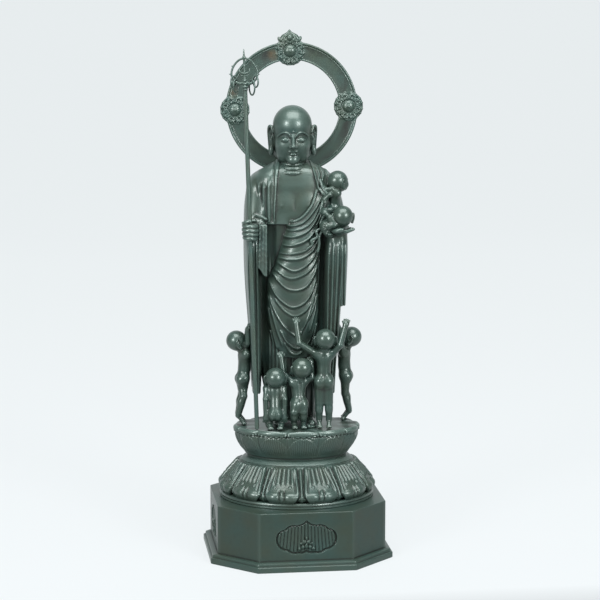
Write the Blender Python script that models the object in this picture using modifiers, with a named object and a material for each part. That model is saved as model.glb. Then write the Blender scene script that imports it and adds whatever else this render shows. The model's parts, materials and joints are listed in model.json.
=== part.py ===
"""A bronze Jizo with seven children on a lotus pedestal, one solid for each cast piece.

Metres, +Z up, front towards -Y, origin at the centre of the plinth's underside.
The pedestal is built from its own sizes. The figures are free forms: their points are
given in 455ths of the standing figure's height, in a frame on the seat that is turned
a little from the plinth.
"""

import math

import bmesh
import bpy
import numpy as np
from mathutils import Matrix, Vector

# Gap left between pieces that touch
GAP = 0.0003

# Plinth: an oblong with cut corners on a wider lip
PLINTH_WIDTH = 0.2394
PLINTH_DEPTH = 0.2244
PLINTH_BODY_HEIGHT = 0.0686
PLINTH_CORNER_X = 0.0545
PLINTH_CORNER_Y = 0.0514
LIP_OVERHANG = 0.0101
LIP_HEIGHT = 0.0135
LIP_BEVEL = 0.0020

# Cusped panel sunk in the front and both sides of the plinth, and the plain face left round it
PANEL_SIDE_MARGIN = 0.0222
PANEL_TOP_MARGIN = 0.0107
PANEL_FOOT_MARGIN = 0.0114
PANEL_DEPTH = 0.0030

# Lower lotus: petals turned down over an oval foot ring that leaves a ledge of the plinth
LEDGE_SIDE = 0.0092
LEDGE_FRONT = 0.0157
LOTUS_HEIGHT = 0.0570
LOWER_PETALS = 12

# Seat: a lotus bowl with a flat top, and the rim left outside the outermost feet
SEAT_MARGIN = 0.0045
SEAT_HEIGHT = 0.0440
SEAT_PETALS = 12

# Standing figure, and its turn from the plinth's front
FIGURE_HEIGHT = 0.4550
FIGURE_TURN = math.radians(-4.5)

# Staff, from its foot on the seat to its spike, and the wire of its hoop
STAFF_RADIUS = 0.0031
STAFF_CLEARANCE = 0.0004
HOOP_WIRE = 0.0012
RING_WIRE = 0.0010

# Halo: a flat ring with three ornaments, held off the back by a lug near its lowest point
HALO_OUTER_RADIUS = 0.0937
HALO_INNER_RADIUS = 0.0682
HALO_THICKNESS = 0.0060
HALO_RIM = 0.0014
HALO_ROLL = math.radians(1.7)
HALO_STANDOFF = 0.0032
HALO_SIDESTEP = 0.0008
ORNAMENT_RADIUS = 0.0178
FLAME_REACH = 0.0315
NUB_REACH = 0.0205
WHEEL_RISE = 0.0020
BOSS_RADIUS = 0.0082
LUG_WIDTH = 0.0160
LUG_HEIGHT = 0.0130
LUG_ABOVE_RIM = 0.0032

# In figure units: the seat's centre, the outermost feet from it, and the pad that takes the lug
UNIT = FIGURE_HEIGHT / 455.0
SEAT_CENTRE = Vector((4.0, -14.0)) * UNIT
STANDING_REACH = Vector((84.0, 52.0)) * UNIT
BACK_PAD_Y = 33.5
LUG_LEVEL = 358.0

# Worked out from the sizes above
FOOT_RING_WIDTH = PLINTH_WIDTH - 2.0 * LEDGE_SIDE
FOOT_RING_DEPTH = PLINTH_DEPTH - 2.0 * LEDGE_FRONT
SEAT_WIDTH = 2.0 * (STANDING_REACH.x + SEAT_MARGIN)
SEAT_DEPTH = 2.0 * (STANDING_REACH.y + SEAT_MARGIN)
LOTUS_BASE = LIP_HEIGHT + PLINTH_BODY_HEIGHT + GAP
SEAT_BASE = LOTUS_BASE + LOTUS_HEIGHT + GAP
SEAT_TOP = SEAT_BASE + SEAT_HEIGHT
SOLE = GAP / UNIT
HALO_CENTRE_HEIGHT = LUG_LEVEL * UNIT + HALO_OUTER_RADIUS - LUG_ABOVE_RIM
HALO_SETBACK = BACK_PAD_Y * UNIT + GAP + HALO_STANDOFF + HALO_THICKNESS / 2.0
FIGURE_FRAME = (
    Matrix.Translation((-SEAT_CENTRE.x, -SEAT_CENTRE.y, SEAT_TOP))
    @ Matrix.Rotation(FIGURE_TURN, 4, "Z")
)
UPRIGHT = Matrix.Rotation(math.radians(90.0), 4, "X")

# Carved forms are drawn as ovals: height, centre x and y, half width, half depth
ROBE_OVALS = (
    (8.0, 0.0, 4.0, 33.0, 24.0),
    (30.0, 0.0, 4.0, 35.0, 24.5),
    (60.0, 0.0, 4.5, 39.0, 25.5),
    (100.0, 0.5, 4.5, 42.0, 26.5),
    (160.0, 1.5, 4.0, 44.0, 28.0),
    (220.0, 2.0, 3.0, 46.0, 29.0),
    (265.0, 2.5, 2.5, 48.0, 30.0),
    (300.0, 2.0, 2.0, 52.0, 31.0),
    (332.0, 0.0, 3.0, 57.0, 30.0),
    (350.0, 0.0, 5.0, 56.0, 27.0),
    (360.0, 0.5, 6.5, 50.0, 22.5),
    (367.0, 0.5, 8.0, 40.0, 18.0),
    (373.0, 0.0, 9.5, 28.0, 14.0),
    (379.0, 0.0, 10.5, 20.0, 11.0),
)
APRON_OVALS = (
    (97.0, 3.0, -4.0, 27.0, 22.0),
    (125.0, 4.0, -5.0, 31.0, 24.0),
    (165.0, 4.0, -6.0, 34.0, 27.0),
    (205.0, 4.5, -7.0, 34.5, 29.0),
    (245.0, 6.0, -7.0, 33.0, 31.0),
    (275.0, 9.0, -6.0, 31.0, 31.0),
    (294.0, 12.0, -4.0, 29.0, 29.5),
    (303.0, 17.0, -2.0, 25.0, 29.0),
)
STAFF_SLEEVE_OVALS = (
    (52.0, -46.5, -5.0, 10.5, 24.0),
    (100.0, -46.8, -6.0, 11.8, 26.0),
    (150.0, -48.0, -7.0, 12.8, 28.0),
    (200.0, -51.3, -8.0, 14.2, 30.0),
    (236.0, -52.3, -8.0, 15.2, 32.0),
    (268.0, -52.0, -7.0, 16.0, 32.0),
    (290.0, -51.5, -5.0, 16.5, 30.0),
    (314.0, -50.0, 0.0, 18.0, 28.0),
    (332.0, -48.5, 3.0, 17.5, 25.0),
    (347.0, -46.0, 5.0, 17.0, 22.0),
    (357.0, -41.5, 7.0, 15.0, 17.0),
    (364.0, -36.0, 8.0, 10.0, 11.0),
)
CHILD_SLEEVE_OVALS = (
    (52.0, 49.0, -5.0, 10.5, 24.0),
    (81.0, 49.4, -6.0, 11.0, 25.0),
    (148.0, 54.0, -7.0, 12.6, 28.0),
    (200.0, 57.0, -8.0, 14.0, 30.0),
    (245.0, 59.5, -8.0, 16.0, 32.0),
    (272.0, 60.5, -7.0, 17.0, 32.0),
    (292.0, 58.5, -4.0, 17.0, 30.0),
    (314.0, 53.5, 1.0, 18.5, 27.0),
    (332.0, 49.5, 4.0, 18.0, 25.0),
    (347.0, 45.0, 5.0, 17.5, 22.0),
    (357.0, 40.5, 7.0, 15.0, 17.0),
    (364.0, 35.0, 8.0, 10.0, 11.0),
)
OUTER_CUFF_OVALS = (
    (174.0, 62.5, -12.0, 10.5, 22.0),
    (215.0, 64.0, -13.0, 11.8, 24.0),
    (255.0, 65.0, -14.0, 12.4, 25.0),
    (280.0, 64.0, -14.0, 12.4, 24.0),
)

# Hanging folds of the apron: height at the left end, lowest point and right end, half width
APRON_FOLDS = (
    (268.0, 266.0, 284.0, 20.0),
    (247.0, 244.0, 258.0, 23.0),
    (240.0, 229.0, 244.0, 26.0),
    (231.0, 217.0, 233.0, 28.0),
    (223.0, 201.0, 223.0, 30.0),
    (216.0, 179.0, 218.0, 32.0),
    (196.0, 158.0, 196.0, 32.0),
    (176.0, 134.0, 176.0, 32.0),
    (150.0, 112.0, 150.0, 30.0),
)


def main():
    clear_scene()
    parts = new_collection("jizo_statue")
    helpers = new_collection("cutters")
    plinth(parts, helpers)
    lower_lotus(parts)
    seat(parts)
    figure = jizo_figure(parts, helpers)
    staff(parts, helpers)
    staff_rings(parts)
    halo(parts, helpers)
    children(parts, helpers, figure)


def clear_scene():
    for item in list(bpy.data.objects):
        bpy.data.objects.remove(item, do_unlink=True)


def new_collection(name):
    collection = bpy.data.collections.new(name)
    bpy.context.scene.collection.children.link(collection)
    return collection


def bronze(name, colour=(0.060, 0.088, 0.078), roughness=0.34):
    """Dark green patinated bronze for one piece."""
    material = bpy.data.materials.new(name + "_bronze")
    material.use_nodes = True
    shader = material.node_tree.nodes["Principled BSDF"]
    shader.inputs["Base Color"].default_value = (*colour, 1.0)
    shader.inputs["Roughness"].default_value = roughness
    shader.inputs["Metallic"].default_value = 0.35
    return material


def add_object(name, mesh, collection):
    item = bpy.data.objects.new(name, mesh)
    item.data.materials.append(bronze(name))
    collection.objects.link(item)
    return item


def mesh_from(name, shape):
    mesh = bpy.data.meshes.new(name)
    shape.to_mesh(mesh)
    shape.free()
    return mesh


def shade_round(mesh, angle=35.0):
    mesh.shade_smooth()
    mesh.set_sharp_from_angle(angle=math.radians(angle))


def make_helper(name, mesh, helpers):
    """A shape used only by a Boolean: kept out of the model."""
    item = bpy.data.objects.new(name, mesh)
    item.hide_render = True
    item.display_type = "WIRE"
    helpers.objects.link(item)
    return item


def boolean(item, helper, operation):
    step = item.modifiers.new(operation.lower() + "_" + helper.name, "BOOLEAN")
    step.operation = operation
    step.object = helper
    step.solver = "EXACT"
    return step


def evaluated_mesh(item):
    """A plain copy of an object's mesh with its modifiers and its place applied."""
    bpy.context.view_layer.update()
    depsgraph = bpy.context.evaluated_depsgraph_get()
    mesh = bpy.data.meshes.new_from_object(item.evaluated_get(depsgraph), depsgraph=depsgraph)
    mesh.transform(item.matrix_world)
    return mesh


def outline_prism(name, points, thickness, frame):
    """A flat outline as a 2D curve, thickened by its extrude, as a closed mesh."""
    curve = bpy.data.curves.new(name, "CURVE")
    curve.dimensions = "2D"
    curve.fill_mode = "BOTH"
    curve.extrude = thickness / 2.0
    spline = curve.splines.new("POLY")
    spline.points.add(len(points) - 1)
    for point, (x, y) in zip(spline.points, points):
        point.co = (x, y, 0.0, 1.0)
    spline.use_cyclic_u = True
    return curve_to_mesh(name, curve, frame)


def curve_to_mesh(name, curve, frame):
    drawn = bpy.data.objects.new(name + "_drawn", curve)
    bpy.context.scene.collection.objects.link(drawn)
    drawn.matrix_world = frame
    mesh = evaluated_mesh(drawn)
    bpy.data.objects.remove(drawn, do_unlink=True)
    shape = bmesh.new()
    shape.from_mesh(mesh)
    bmesh.ops.remove_doubles(shape, verts=shape.verts, dist=1e-6)
    bmesh.ops.recalc_face_normals(shape, faces=shape.faces)
    shape.to_mesh(mesh)
    shape.free()
    return mesh


def wire_mesh(name, points, radius, frame, closed=False, resolution=1):
    """A round wire through points, as a closed mesh."""
    curve = bpy.data.curves.new(name, "CURVE")
    curve.dimensions = "3D"
    curve.bevel_depth = radius
    curve.bevel_resolution = resolution
    curve.use_fill_caps = not closed
    spline = curve.splines.new("POLY")
    spline.points.add(len(points) - 1)
    for point, place in zip(spline.points, points):
        point.co = (*place, 1.0)
    spline.use_cyclic_u = closed
    return curve_to_mesh(name, curve, frame)


def arc(start, end, rise, steps):
    """Points on the arc from start up to, not including, end; rise is to the left."""
    start = Vector(start)
    end = Vector(end)
    chord = end - start
    side = Vector((-chord.y, chord.x)).normalized()
    half = chord.length / 2.0
    radius = (half * half + rise * rise) / (2.0 * abs(rise))
    centre = (start + end) / 2.0 + side * (rise - math.copysign(radius, rise))
    first = math.atan2(start.y - centre.y, start.x - centre.x)
    last = math.atan2(end.y - centre.y, end.x - centre.x)
    sweep = (last - first + math.pi) % (2.0 * math.pi) - math.pi
    angles = [first + sweep * i / steps for i in range(steps)]
    return [(centre.x + radius * math.cos(angle), centre.y + radius * math.sin(angle)) for angle in angles]


def plinth_outline(overhang):
    """Eight corners of the plinth, or of its lip when overhang is given."""
    cut = 2.0 - math.sqrt(2.0)
    a = PLINTH_WIDTH / 2.0 + overhang
    b = PLINTH_DEPTH / 2.0 + overhang
    c = PLINTH_CORNER_X + overhang * cut
    d = PLINTH_CORNER_Y + overhang * cut
    return [
        (a, -b + d), (a, b - d), (a - c, b), (-a + c, b),
        (-a, b - d), (-a, -b + d), (-a + c, -b), (a - c, -b),
    ]


def panel_outline(width, height):
    """Cusped panel: three scallops a side under a pointed top, two lobes below."""
    w = width / 2.0
    h = height
    right = [
        (0.0, 0.60 * h), (0.37 * w, 0.46 * h), (0.70 * w, 0.34 * h),
        (w, 0.0), (0.50 * w, -0.40 * h), (0.0, -0.20 * h),
    ]
    rises = [-0.05 * w, 0.05 * w, 0.10 * w, 0.10 * w, 0.14 * w]
    half = []
    for start, end, rise in zip(right, right[1:], rises):
        half += arc(start, end, rise, 3)
    mirrored = [(-x, y) for x, y in reversed(half[1:])]
    return half + [right[-1]] + mirrored


def plinth(parts, helpers):
    height = PLINTH_BODY_HEIGHT + LIP_HEIGHT
    frame = Matrix.Translation((0.0, 0.0, height / 2.0))
    item = add_object("plinth", outline_prism("plinth_body", plinth_outline(0.0), height, frame), parts)
    frame = Matrix.Translation((0.0, 0.0, LIP_HEIGHT / 2.0))
    lip = outline_prism("plinth_lip", plinth_outline(LIP_OVERHANG), LIP_HEIGHT, frame)
    lip_item = make_helper("plinth_lip", lip, helpers)
    bevel = lip_item.modifiers.new("worn_edge", "BEVEL")
    bevel.width = LIP_BEVEL
    bevel.segments = 1
    bevel.limit_method = "ANGLE"
    bevel.angle_limit = math.radians(60.0)
    boolean(item, lip_item, "UNION")
    tall = PLINTH_BODY_HEIGHT - PANEL_TOP_MARGIN - PANEL_FOOT_MARGIN
    middle = LIP_HEIGHT + PANEL_FOOT_MARGIN + 0.40 * tall
    front = PLINTH_WIDTH - 2.0 * (PLINTH_CORNER_X + PANEL_SIDE_MARGIN)
    side = PLINTH_DEPTH - 2.0 * (PLINTH_CORNER_Y + PANEL_SIDE_MARGIN)
    faces = (
        ("front", 0.0, PLINTH_DEPTH / 2.0, front),
        ("right", 90.0, PLINTH_WIDTH / 2.0, side),
        ("left", -90.0, PLINTH_WIDTH / 2.0, side),
    )
    for name, turn, reach, wide in faces:
        frame = (
            Matrix.Rotation(math.radians(turn), 4, "Z")
            @ Matrix.Translation((0.0, -reach, middle))
            @ UPRIGHT
        )
        panel = outline_prism("panel", panel_outline(wide, tall), 2.0 * PANEL_DEPTH, frame)
        boolean(item, make_helper("panel_" + name, panel, helpers), "DIFFERENCE")
    shade_round(item.data, 20.0)


def petal_oval(width, depth, notch, petals, steps, height):
    """One level of a petalled oval: full at each petal's middle, drawn in between petals."""
    points = []
    for step in range(petals * steps):
        angle = 2.0 * math.pi * step / (petals * steps)
        across = 2.0 * (step % steps) / steps - 1.0
        share = 1.0 - notch * across ** 4
        points.append((width / 2.0 * share * math.cos(angle), depth / 2.0 * share * math.sin(angle), height))
    return points


def stack_levels(levels):
    """A closed skin through levels of equally many points, lowest first."""
    shape = bmesh.new()
    rings = [[shape.verts.new(point) for point in level] for level in levels]
    count = len(rings[0])
    for lower, upper in zip(rings, rings[1:]):
        for i in range(count):
            j = (i + 1) % count
            shape.faces.new((lower[i], lower[j], upper[j], upper[i]))
    shape.faces.new(rings[-1])
    shape.faces.new(list(reversed(rings[0])))
    return shape


def place_turned(item, base):
    item.location = (0.0, 0.0, base)
    item.rotation_euler = (0.0, 0.0, FIGURE_TURN)


def lower_lotus(parts):
    """Foot ring, petals that swell towards their curled tips, and a plain collar."""
    ring_w = FOOT_RING_WIDTH
    ring_d = FOOT_RING_DEPTH
    seat_w = SEAT_WIDTH
    seat_d = SEAT_DEPTH
    h = LOTUS_HEIGHT
    profile = (
        (0.00 * h, ring_w, ring_d, 0.0),
        (0.12 * h, ring_w, ring_d, 0.0),
        (0.16 * h, 0.94 * ring_w, 0.93 * ring_d, 0.0),
        (0.19 * h, 0.98 * ring_w, 0.95 * ring_d, 0.07),
        (0.29 * h, 1.01 * ring_w, 0.94 * ring_d, 0.06),
        (0.43 * h, 0.99 * ring_w, 0.88 * ring_d, 0.05),
        (0.58 * h, 0.93 * ring_w, 0.77 * ring_d, 0.04),
        (0.74 * h, 0.85 * ring_w, 0.65 * ring_d, 0.03),
        (0.88 * h, 0.94 * seat_w, 0.95 * seat_d, 0.02),
        (0.91 * h, 0.85 * seat_w, 0.88 * seat_d, 0.0),
        (1.00 * h, 0.84 * seat_w, 0.86 * seat_d, 0.0),
    )
    levels = [petal_oval(w, d, notch, LOWER_PETALS, 4, z) for z, w, d, notch in profile]
    item = add_object("lower_lotus", mesh_from("lower_lotus", stack_levels(levels)), parts)
    place_turned(item, LOTUS_BASE)
    shade_round(item.data)


def seat(parts):
    """Bowl of upright petals whose rims roll outwards round the flat top."""
    w = SEAT_WIDTH
    d = SEAT_DEPTH
    h = SEAT_HEIGHT
    profile = (
        (0.00 * h, 0.78 * w, 0.80 * d, 0.0),
        (0.09 * h, 0.84 * w, 0.86 * d, 0.01),
        (0.25 * h, 0.92 * w, 0.95 * d, 0.02),
        (0.50 * h, 0.98 * w, 1.00 * d, 0.03),
        (0.80 * h, 0.99 * w, 1.00 * d, 0.03),
        (0.90 * h, 1.00 * w, 1.00 * d, 0.04),
        (0.97 * h, 0.99 * w, 0.98 * d, 0.04),
        (1.00 * h, 0.96 * w, 0.94 * d, 0.03),
    )
    levels = [petal_oval(wide, deep, notch, SEAT_PETALS, 4, z) for z, wide, deep, notch in profile]
    item = add_object("seat", mesh_from("seat", stack_levels(levels)), parts)
    place_turned(item, SEAT_BASE)
    shade_round(item.data)


def ball(shape, centre, radii, turn=None, around=12, up=8):
    """An egg of given half axes, turned if asked."""
    place = Matrix.Translation(centre)
    if turn is not None:
        place = place @ turn
    place = place @ Matrix.Diagonal((*radii, 1.0))
    bmesh.ops.create_uvsphere(shape, u_segments=around, v_segments=up, radius=1.0, matrix=place)


def block(shape, low, high):
    low = Vector(low)
    high = Vector(high)
    place = Matrix.Translation((low + high) / 2.0) @ Matrix.Diagonal((*(high - low), 1.0))
    bmesh.ops.create_cube(shape, size=1.0, matrix=place)


def limb(shape, points, radii, around=12):
    """A tapering round limb through points, with a ball at each joint."""
    points = [Vector(point) for point in points]
    for point, radius in zip(points, radii):
        ball(shape, point, (radius, radius, radius), around=around)
    for start, end, first, last in zip(points, points[1:], radii, radii[1:]):
        along = end - start
        place = Matrix.Translation((start + end) / 2.0) @ along.to_track_quat("Z", "Y").to_matrix().to_4x4()
        bmesh.ops.create_cone(
            shape, cap_ends=True, segments=around,
            radius1=first, radius2=last, depth=along.length, matrix=place,
        )


def smooth_rows(rows, count):
    """Rows of numbers read as smooth curves of their first column, at evenly spaced places."""
    table = np.array(rows)
    key = table[:, 0]
    slope = np.gradient(table, key, axis=0)
    places = np.linspace(key[0], key[-1], count)
    index = np.clip(np.searchsorted(key, places) - 1, 0, len(key) - 2)
    step = (key[index + 1] - key[index])[:, None]
    t = ((places - key[index]) / step[:, 0])[:, None]
    start, end = table[index], table[index + 1]
    return (
        (1 + 2 * t) * (1 - t) ** 2 * start
        + t * (1 - t) ** 2 * step * slope[index]
        + t ** 2 * (3 - 2 * t) * end
        + t ** 2 * (t - 1) * step * slope[index + 1]
    )


def hanging_form(shape, ovals, squareness=2.5, pleats=0, pleat_depth=0.0, levels=24, around=48):
    """A form through ovals, with upright pleats that fade towards its top."""
    rows = smooth_rows(ovals, levels)
    low, high = rows[0][0], rows[-1][0]
    rings = []
    for z, cx, cy, a, b in rows:
        fade = min(1.0, 1.6 * (high - z) / (high - low))
        ring = []
        for step in range(around):
            angle = 2.0 * math.pi * step / around
            c, s = math.cos(angle), math.sin(angle)
            swell = 1.0 + pleat_depth * fade * math.cos(pleats * angle)
            x = a * swell * math.copysign(abs(c) ** (2.0 / squareness), c)
            y = b * swell * math.copysign(abs(s) ** (2.0 / squareness), s)
            ring.append((cx + x, cy + y, z))
        rings.append(ring)
    skin = stack_levels(rings)
    mesh = bpy.data.meshes.new("form")
    skin.to_mesh(mesh)
    skin.free()
    shape.from_mesh(mesh)
    bpy.data.meshes.remove(mesh)


def apron_front(x, z):
    """Depth of the apron's front face at a place across and up it."""
    rows = np.array(APRON_OVALS)
    cx, cy, a, b = (np.interp(z, rows[:, 0], rows[:, i]) for i in range(1, 5))
    across = min(abs((x - cx) / a), 0.999)
    return cy - b * (1.0 - across ** 2.5) ** (1.0 / 2.5)


def apron_folds(shape):
    """Raised folds that hang in curves across the apron."""
    for left, low, right, half in APRON_FOLDS:
        route = []
        for step in range(9):
            across = step / 4.0 - 1.0
            x = 4.0 + half * across
            end = left if across < 0.0 else right
            z = low + (end - low) * across ** 2
            route.append((x, apron_front(x, z) + 0.6, z))
        limb(shape, route, [2.0] * len(route), around=8)


def clay(name, shape, voxel, smoothing, budget, collection):
    """Fuse overlapping forms into one skin, soften it and thin it to a triangle budget."""
    bmesh.ops.transform(shape, matrix=Matrix.Scale(UNIT, 4), verts=shape.verts)
    item = add_object(name, mesh_from(name, shape), collection)
    item.matrix_world = FIGURE_FRAME
    fuse = item.modifiers.new("fuse", "REMESH")
    fuse.mode = "VOXEL"
    fuse.voxel_size = voxel * UNIT
    fuse.use_smooth_shade = True
    soften = item.modifiers.new("soften", "SMOOTH")
    soften.factor = 0.5
    soften.iterations = smoothing
    triangles = sum(len(face.vertices) - 2 for face in evaluated_mesh(item).polygons)
    thin = item.modifiers.new("thin", "DECIMATE")
    thin.ratio = min(1.0, budget / triangles)
    thin.use_collapse_triangulate = True
    return item


def cut_level(item, helpers):
    """Cut the soles off level, a gap above the seat."""
    name = item.name + "_floor"
    shape = bmesh.new()
    reach = 0.5 * FIGURE_HEIGHT
    block(shape, (-reach, -reach, SEAT_TOP - reach), (reach, reach, SEAT_TOP + GAP))
    boolean(item, make_helper(name, mesh_from(name, shape), helpers), "DIFFERENCE")


def head_forms(shape):
    """Shaven head with long ears, on a neck with three creases."""
    ball(shape, (0.0, 0.0, 425.0), (27.5, 30.0, 30.0), around=24, up=16)
    ball(shape, (0.0, -2.0, 403.0), (26.5, 27.5, 27.0), around=24, up=16)
    ball(shape, (0.0, -17.0, 385.5), (11.0, 11.0, 9.5))
    limb(shape, ((0.0, -25.0, 414.0), (0.0, -31.0, 400.0)), (2.6, 4.0))
    for side in (-1.0, 1.0):
        ear = ((side * 29.5, 4.0, 418.0), (side * 29.5, 3.0, 403.0), (side * 28.0, 1.0, 391.0))
        limb(shape, ear, (4.6, 4.0, 3.6))
        ball(shape, (side * 10.0, -25.5, 412.0), (6.5, 3.5, 3.0))
    limb(shape, ((0.0, 3.0, 386.0), (0.0, 6.0, 352.0)), (17.5, 19.0), around=20)
    for crease in range(3):
        ball(shape, (0.0, 2.0, 374.0 - 5.5 * crease), (19.0 + crease, 18.5 + crease, 3.0), around=20)


def chest_forms(shape):
    """Bare breast between the robe's turned edges."""
    for side in (-1.0, 1.0):
        ball(shape, (4.0 + side * 13.0, -20.0, 318.0), (14.0, 11.0, 15.0))
    lapels = (
        (((-17.0, -8.0, 372.0), (-23.0, -25.0, 345.0), (-23.5, -28.0, 300.0)), (3.0, 3.2, 3.0)),
        (((17.0, -8.0, 372.0), (30.0, -22.0, 350.0), (31.0, -26.0, 318.0)), (3.0, 4.0, 4.0)),
    )
    for route, radii in lapels:
        limb(shape, route, radii, around=8)
    for fold in range(3):
        over = (28.0 + 6.0 * fold, -14.0, 366.0 - fold)
        middle = (34.0 + 5.0 * fold, -25.0, 330.0)
        knot = (32.0 + 5.0 * fold, -27.0, 296.0)
        limb(shape, (over, middle, knot), (2.6, 2.8, 2.6), around=8)


def staff_point(height):
    """Centre of the staff at a height above the seat."""
    foot = Vector((-52.6, -50.0, SOLE))
    top = Vector((-69.0, -43.0, 534.5))
    return foot.lerp(top, (height - foot.z) / (top.z - foot.z))


def hand_forms(shape):
    """Right hand closed round the staff, left hand open under a child."""
    grip = staff_point(281.0)
    wrist = (grip.x + 1.0, grip.y + 8.0, 281.0)
    limb(shape, ((-52.0, 4.0, 284.0), (-57.0, -26.0, 283.0), wrist), (14.0, 11.0, 8.5))
    for finger in range(4):
        z = 289.5 - 5.4 * finger
        route = [
            (grip.x + 8.0 * math.cos(angle), grip.y + 7.4 * math.sin(angle), z)
            for angle in (math.radians(20.0 - 50.0 * step) for step in range(5))
        ]
        limb(shape, route, [3.1] * 5, around=8)
    thumb = ((grip.x - 8.0, grip.y + 5.0, 292.0), (grip.x - 3.0, grip.y - 6.0, 296.0))
    limb(shape, thumb, (3.4, 2.8), around=8)
    limb(shape, ((56.0, 6.0, 284.0), (61.0, -26.0, 283.0), (63.0, -42.0, 283.0)), (14.0, 11.5, 8.0))
    ball(shape, (65.0, -46.0, 283.0), (13.0, 9.0, 4.4))
    for finger in range(4):
        y = -52.0 + 4.6 * finger
        route = ((70.0, y, 284.0), (78.0, y - 1.0, 283.0), (82.5, y - 1.0, 284.5))
        limb(shape, route, (2.8, 2.4, 2.2), around=8)


def foot_forms(shape):
    """Bare feet under the hem."""
    for x, toe in ((-21.0, -27.0), (27.0, -38.0)):
        limb(shape, ((x * 0.8, 8.0, 5.0), (x, toe, 3.6)), (8.0, 4.8))
        block(shape, (x - 5.0, toe + 2.0, -3.0), (x + 5.0, 6.0, 3.0))


def jizo_figure(parts, helpers):
    shape = bmesh.new()
    hanging_form(shape, ROBE_OVALS, 2.3, 15, 0.022, levels=40, around=72)
    hanging_form(shape, APRON_OVALS, 2.5, around=48)
    apron_folds(shape)
    hanging_form(shape, STAFF_SLEEVE_OVALS, 2.6, 9, 0.045, levels=30)
    hanging_form(shape, CHILD_SLEEVE_OVALS, 2.6, 9, 0.045, levels=30)
    hanging_form(shape, OUTER_CUFF_OVALS, 2.6, 7, 0.04)
    head_forms(shape)
    chest_forms(shape)
    hand_forms(shape)
    foot_forms(shape)
    wide = LUG_WIDTH / 2.0 / UNIT + 1.0
    tall = LUG_HEIGHT / 2.0 / UNIT + 1.5
    block(shape, (-wide, 15.0, LUG_LEVEL - tall), (wide, BACK_PAD_Y + 3.0, LUG_LEVEL + tall))
    item = clay("jizo_figure", shape, 1.8, 2, 3200, parts)
    cut_level(item, helpers)
    pad = bmesh.new()
    low = (-2.0 * wide, BACK_PAD_Y, LUG_LEVEL - 2.0 * tall)
    high = (2.0 * wide, 2.0 * BACK_PAD_Y, LUG_LEVEL + 2.0 * tall)
    block(pad, low, high)
    bmesh.ops.transform(pad, matrix=Matrix.Scale(UNIT, 4), verts=pad.verts)
    pad_item = make_helper("back_pad_face", mesh_from("back_pad_face", pad), helpers)
    pad_item.matrix_world = FIGURE_FRAME
    boolean(item, pad_item, "DIFFERENCE")
    points = [staff_point(z) * UNIT for z in (262.0, 304.0)]
    bore = wire_mesh("staff_bore", points, STAFF_RADIUS + STAFF_CLEARANCE, FIGURE_FRAME, resolution=2)
    boolean(item, make_helper("staff_bore", bore, helpers), "DIFFERENCE")
    return item


def staff(parts, helpers):
    """Shaft, hoop and the small cross that stands in the hoop."""
    foot, neck, tip = staff_point(SOLE), staff_point(486.0), staff_point(534.5)
    shaft = wire_mesh("staff", [foot * UNIT, neck * UNIT], STAFF_RADIUS, FIGURE_FRAME)
    item = add_object("staff", shaft, parts)
    route = [place * UNIT for place in hoop_route()]
    joined = (
        wire_mesh("hoop", route, HOOP_WIRE, FIGURE_FRAME, closed=True),
        wire_mesh("stem", [staff_point(482.0) * UNIT, tip * UNIT], 1.4 * HOOP_WIRE, FIGURE_FRAME),
        wire_mesh("cross", [cross_end(-1.0) * UNIT, cross_end(1.0) * UNIT], HOOP_WIRE, FIGURE_FRAME),
    )
    for mesh in joined:
        boolean(item, make_helper(mesh.name + "_form", mesh, helpers), "UNION")
    cut_level(item, helpers)
    shade_round(item.data, 50.0)


def cross_end(side):
    middle = staff_point(500.0)
    return Vector((middle.x + side * 6.5, middle.y, middle.z))


def hoop_place(angle):
    """A point of the pear-shaped hoop; angle 0 is its foot and half a turn its peak."""
    middle = staff_point(504.0)
    wide = 18.6 * math.sin(angle) * (1.0 - 0.12 * math.cos(2.0 * angle))
    high = -18.0 * math.cos(angle)
    return Vector((middle.x + wide, middle.y, middle.z + high))


def hoop_route():
    return [hoop_place(2.0 * math.pi * step / 24.0) for step in range(24)]


def staff_rings(parts):
    """Four loose rings that hang on the hoop's lower shoulders."""
    slack = (HOOP_WIRE + RING_WIRE) / UNIT
    rings = (
        ("staff_ring_left_outer", -52.0, 6.2, 8.0, -32.0, 2.1),
        ("staff_ring_left_inner", -36.0, 6.0, 9.0, -36.0, 1.8),
        ("staff_ring_right_inner", 36.0, 6.0, 9.5, 36.0, 1.8),
        ("staff_ring_right_outer", 52.0, 6.0, 7.6, 32.0, 2.1),
    )
    for name, at, wide, high, turn, slope in rings:
        hook = hoop_place(math.radians(at))
        centre = Vector((hook.x, hook.y, hook.z - high + slope * slack))
        spin = math.radians(90.0 + turn)
        route = []
        for step in range(10):
            angle = 2.0 * math.pi * step / 10.0
            across = wide * math.sin(angle)
            offset = Vector((across * math.cos(spin), across * math.sin(spin), high * math.cos(angle)))
            route.append((centre + offset) * UNIT)
        item = add_object(name, wire_mesh(name, route, RING_WIRE, FIGURE_FRAME, closed=True), parts)
        shade_round(item.data, 70.0)


def halo_point(angle, radius):
    """A point in the halo's own plane; angle 0 is the top, positive towards +X."""
    return (radius * math.sin(angle), radius * math.cos(angle))


def ornament_outline(reach, peak):
    """Scalloped wheel whose scallop at the top is drawn out to a peak."""
    points = []
    for step in range(20):
        angle = 2.0 * math.pi * step / 20.0
        away = abs((step + 10) % 20 - 10)
        radius = reach * (1.0 if step % 2 else 0.88)
        if away == 0:
            radius = peak
        elif away == 1:
            radius = reach + 0.42 * (peak - reach)
        points.append(halo_point(angle, radius))
    return points


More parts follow.
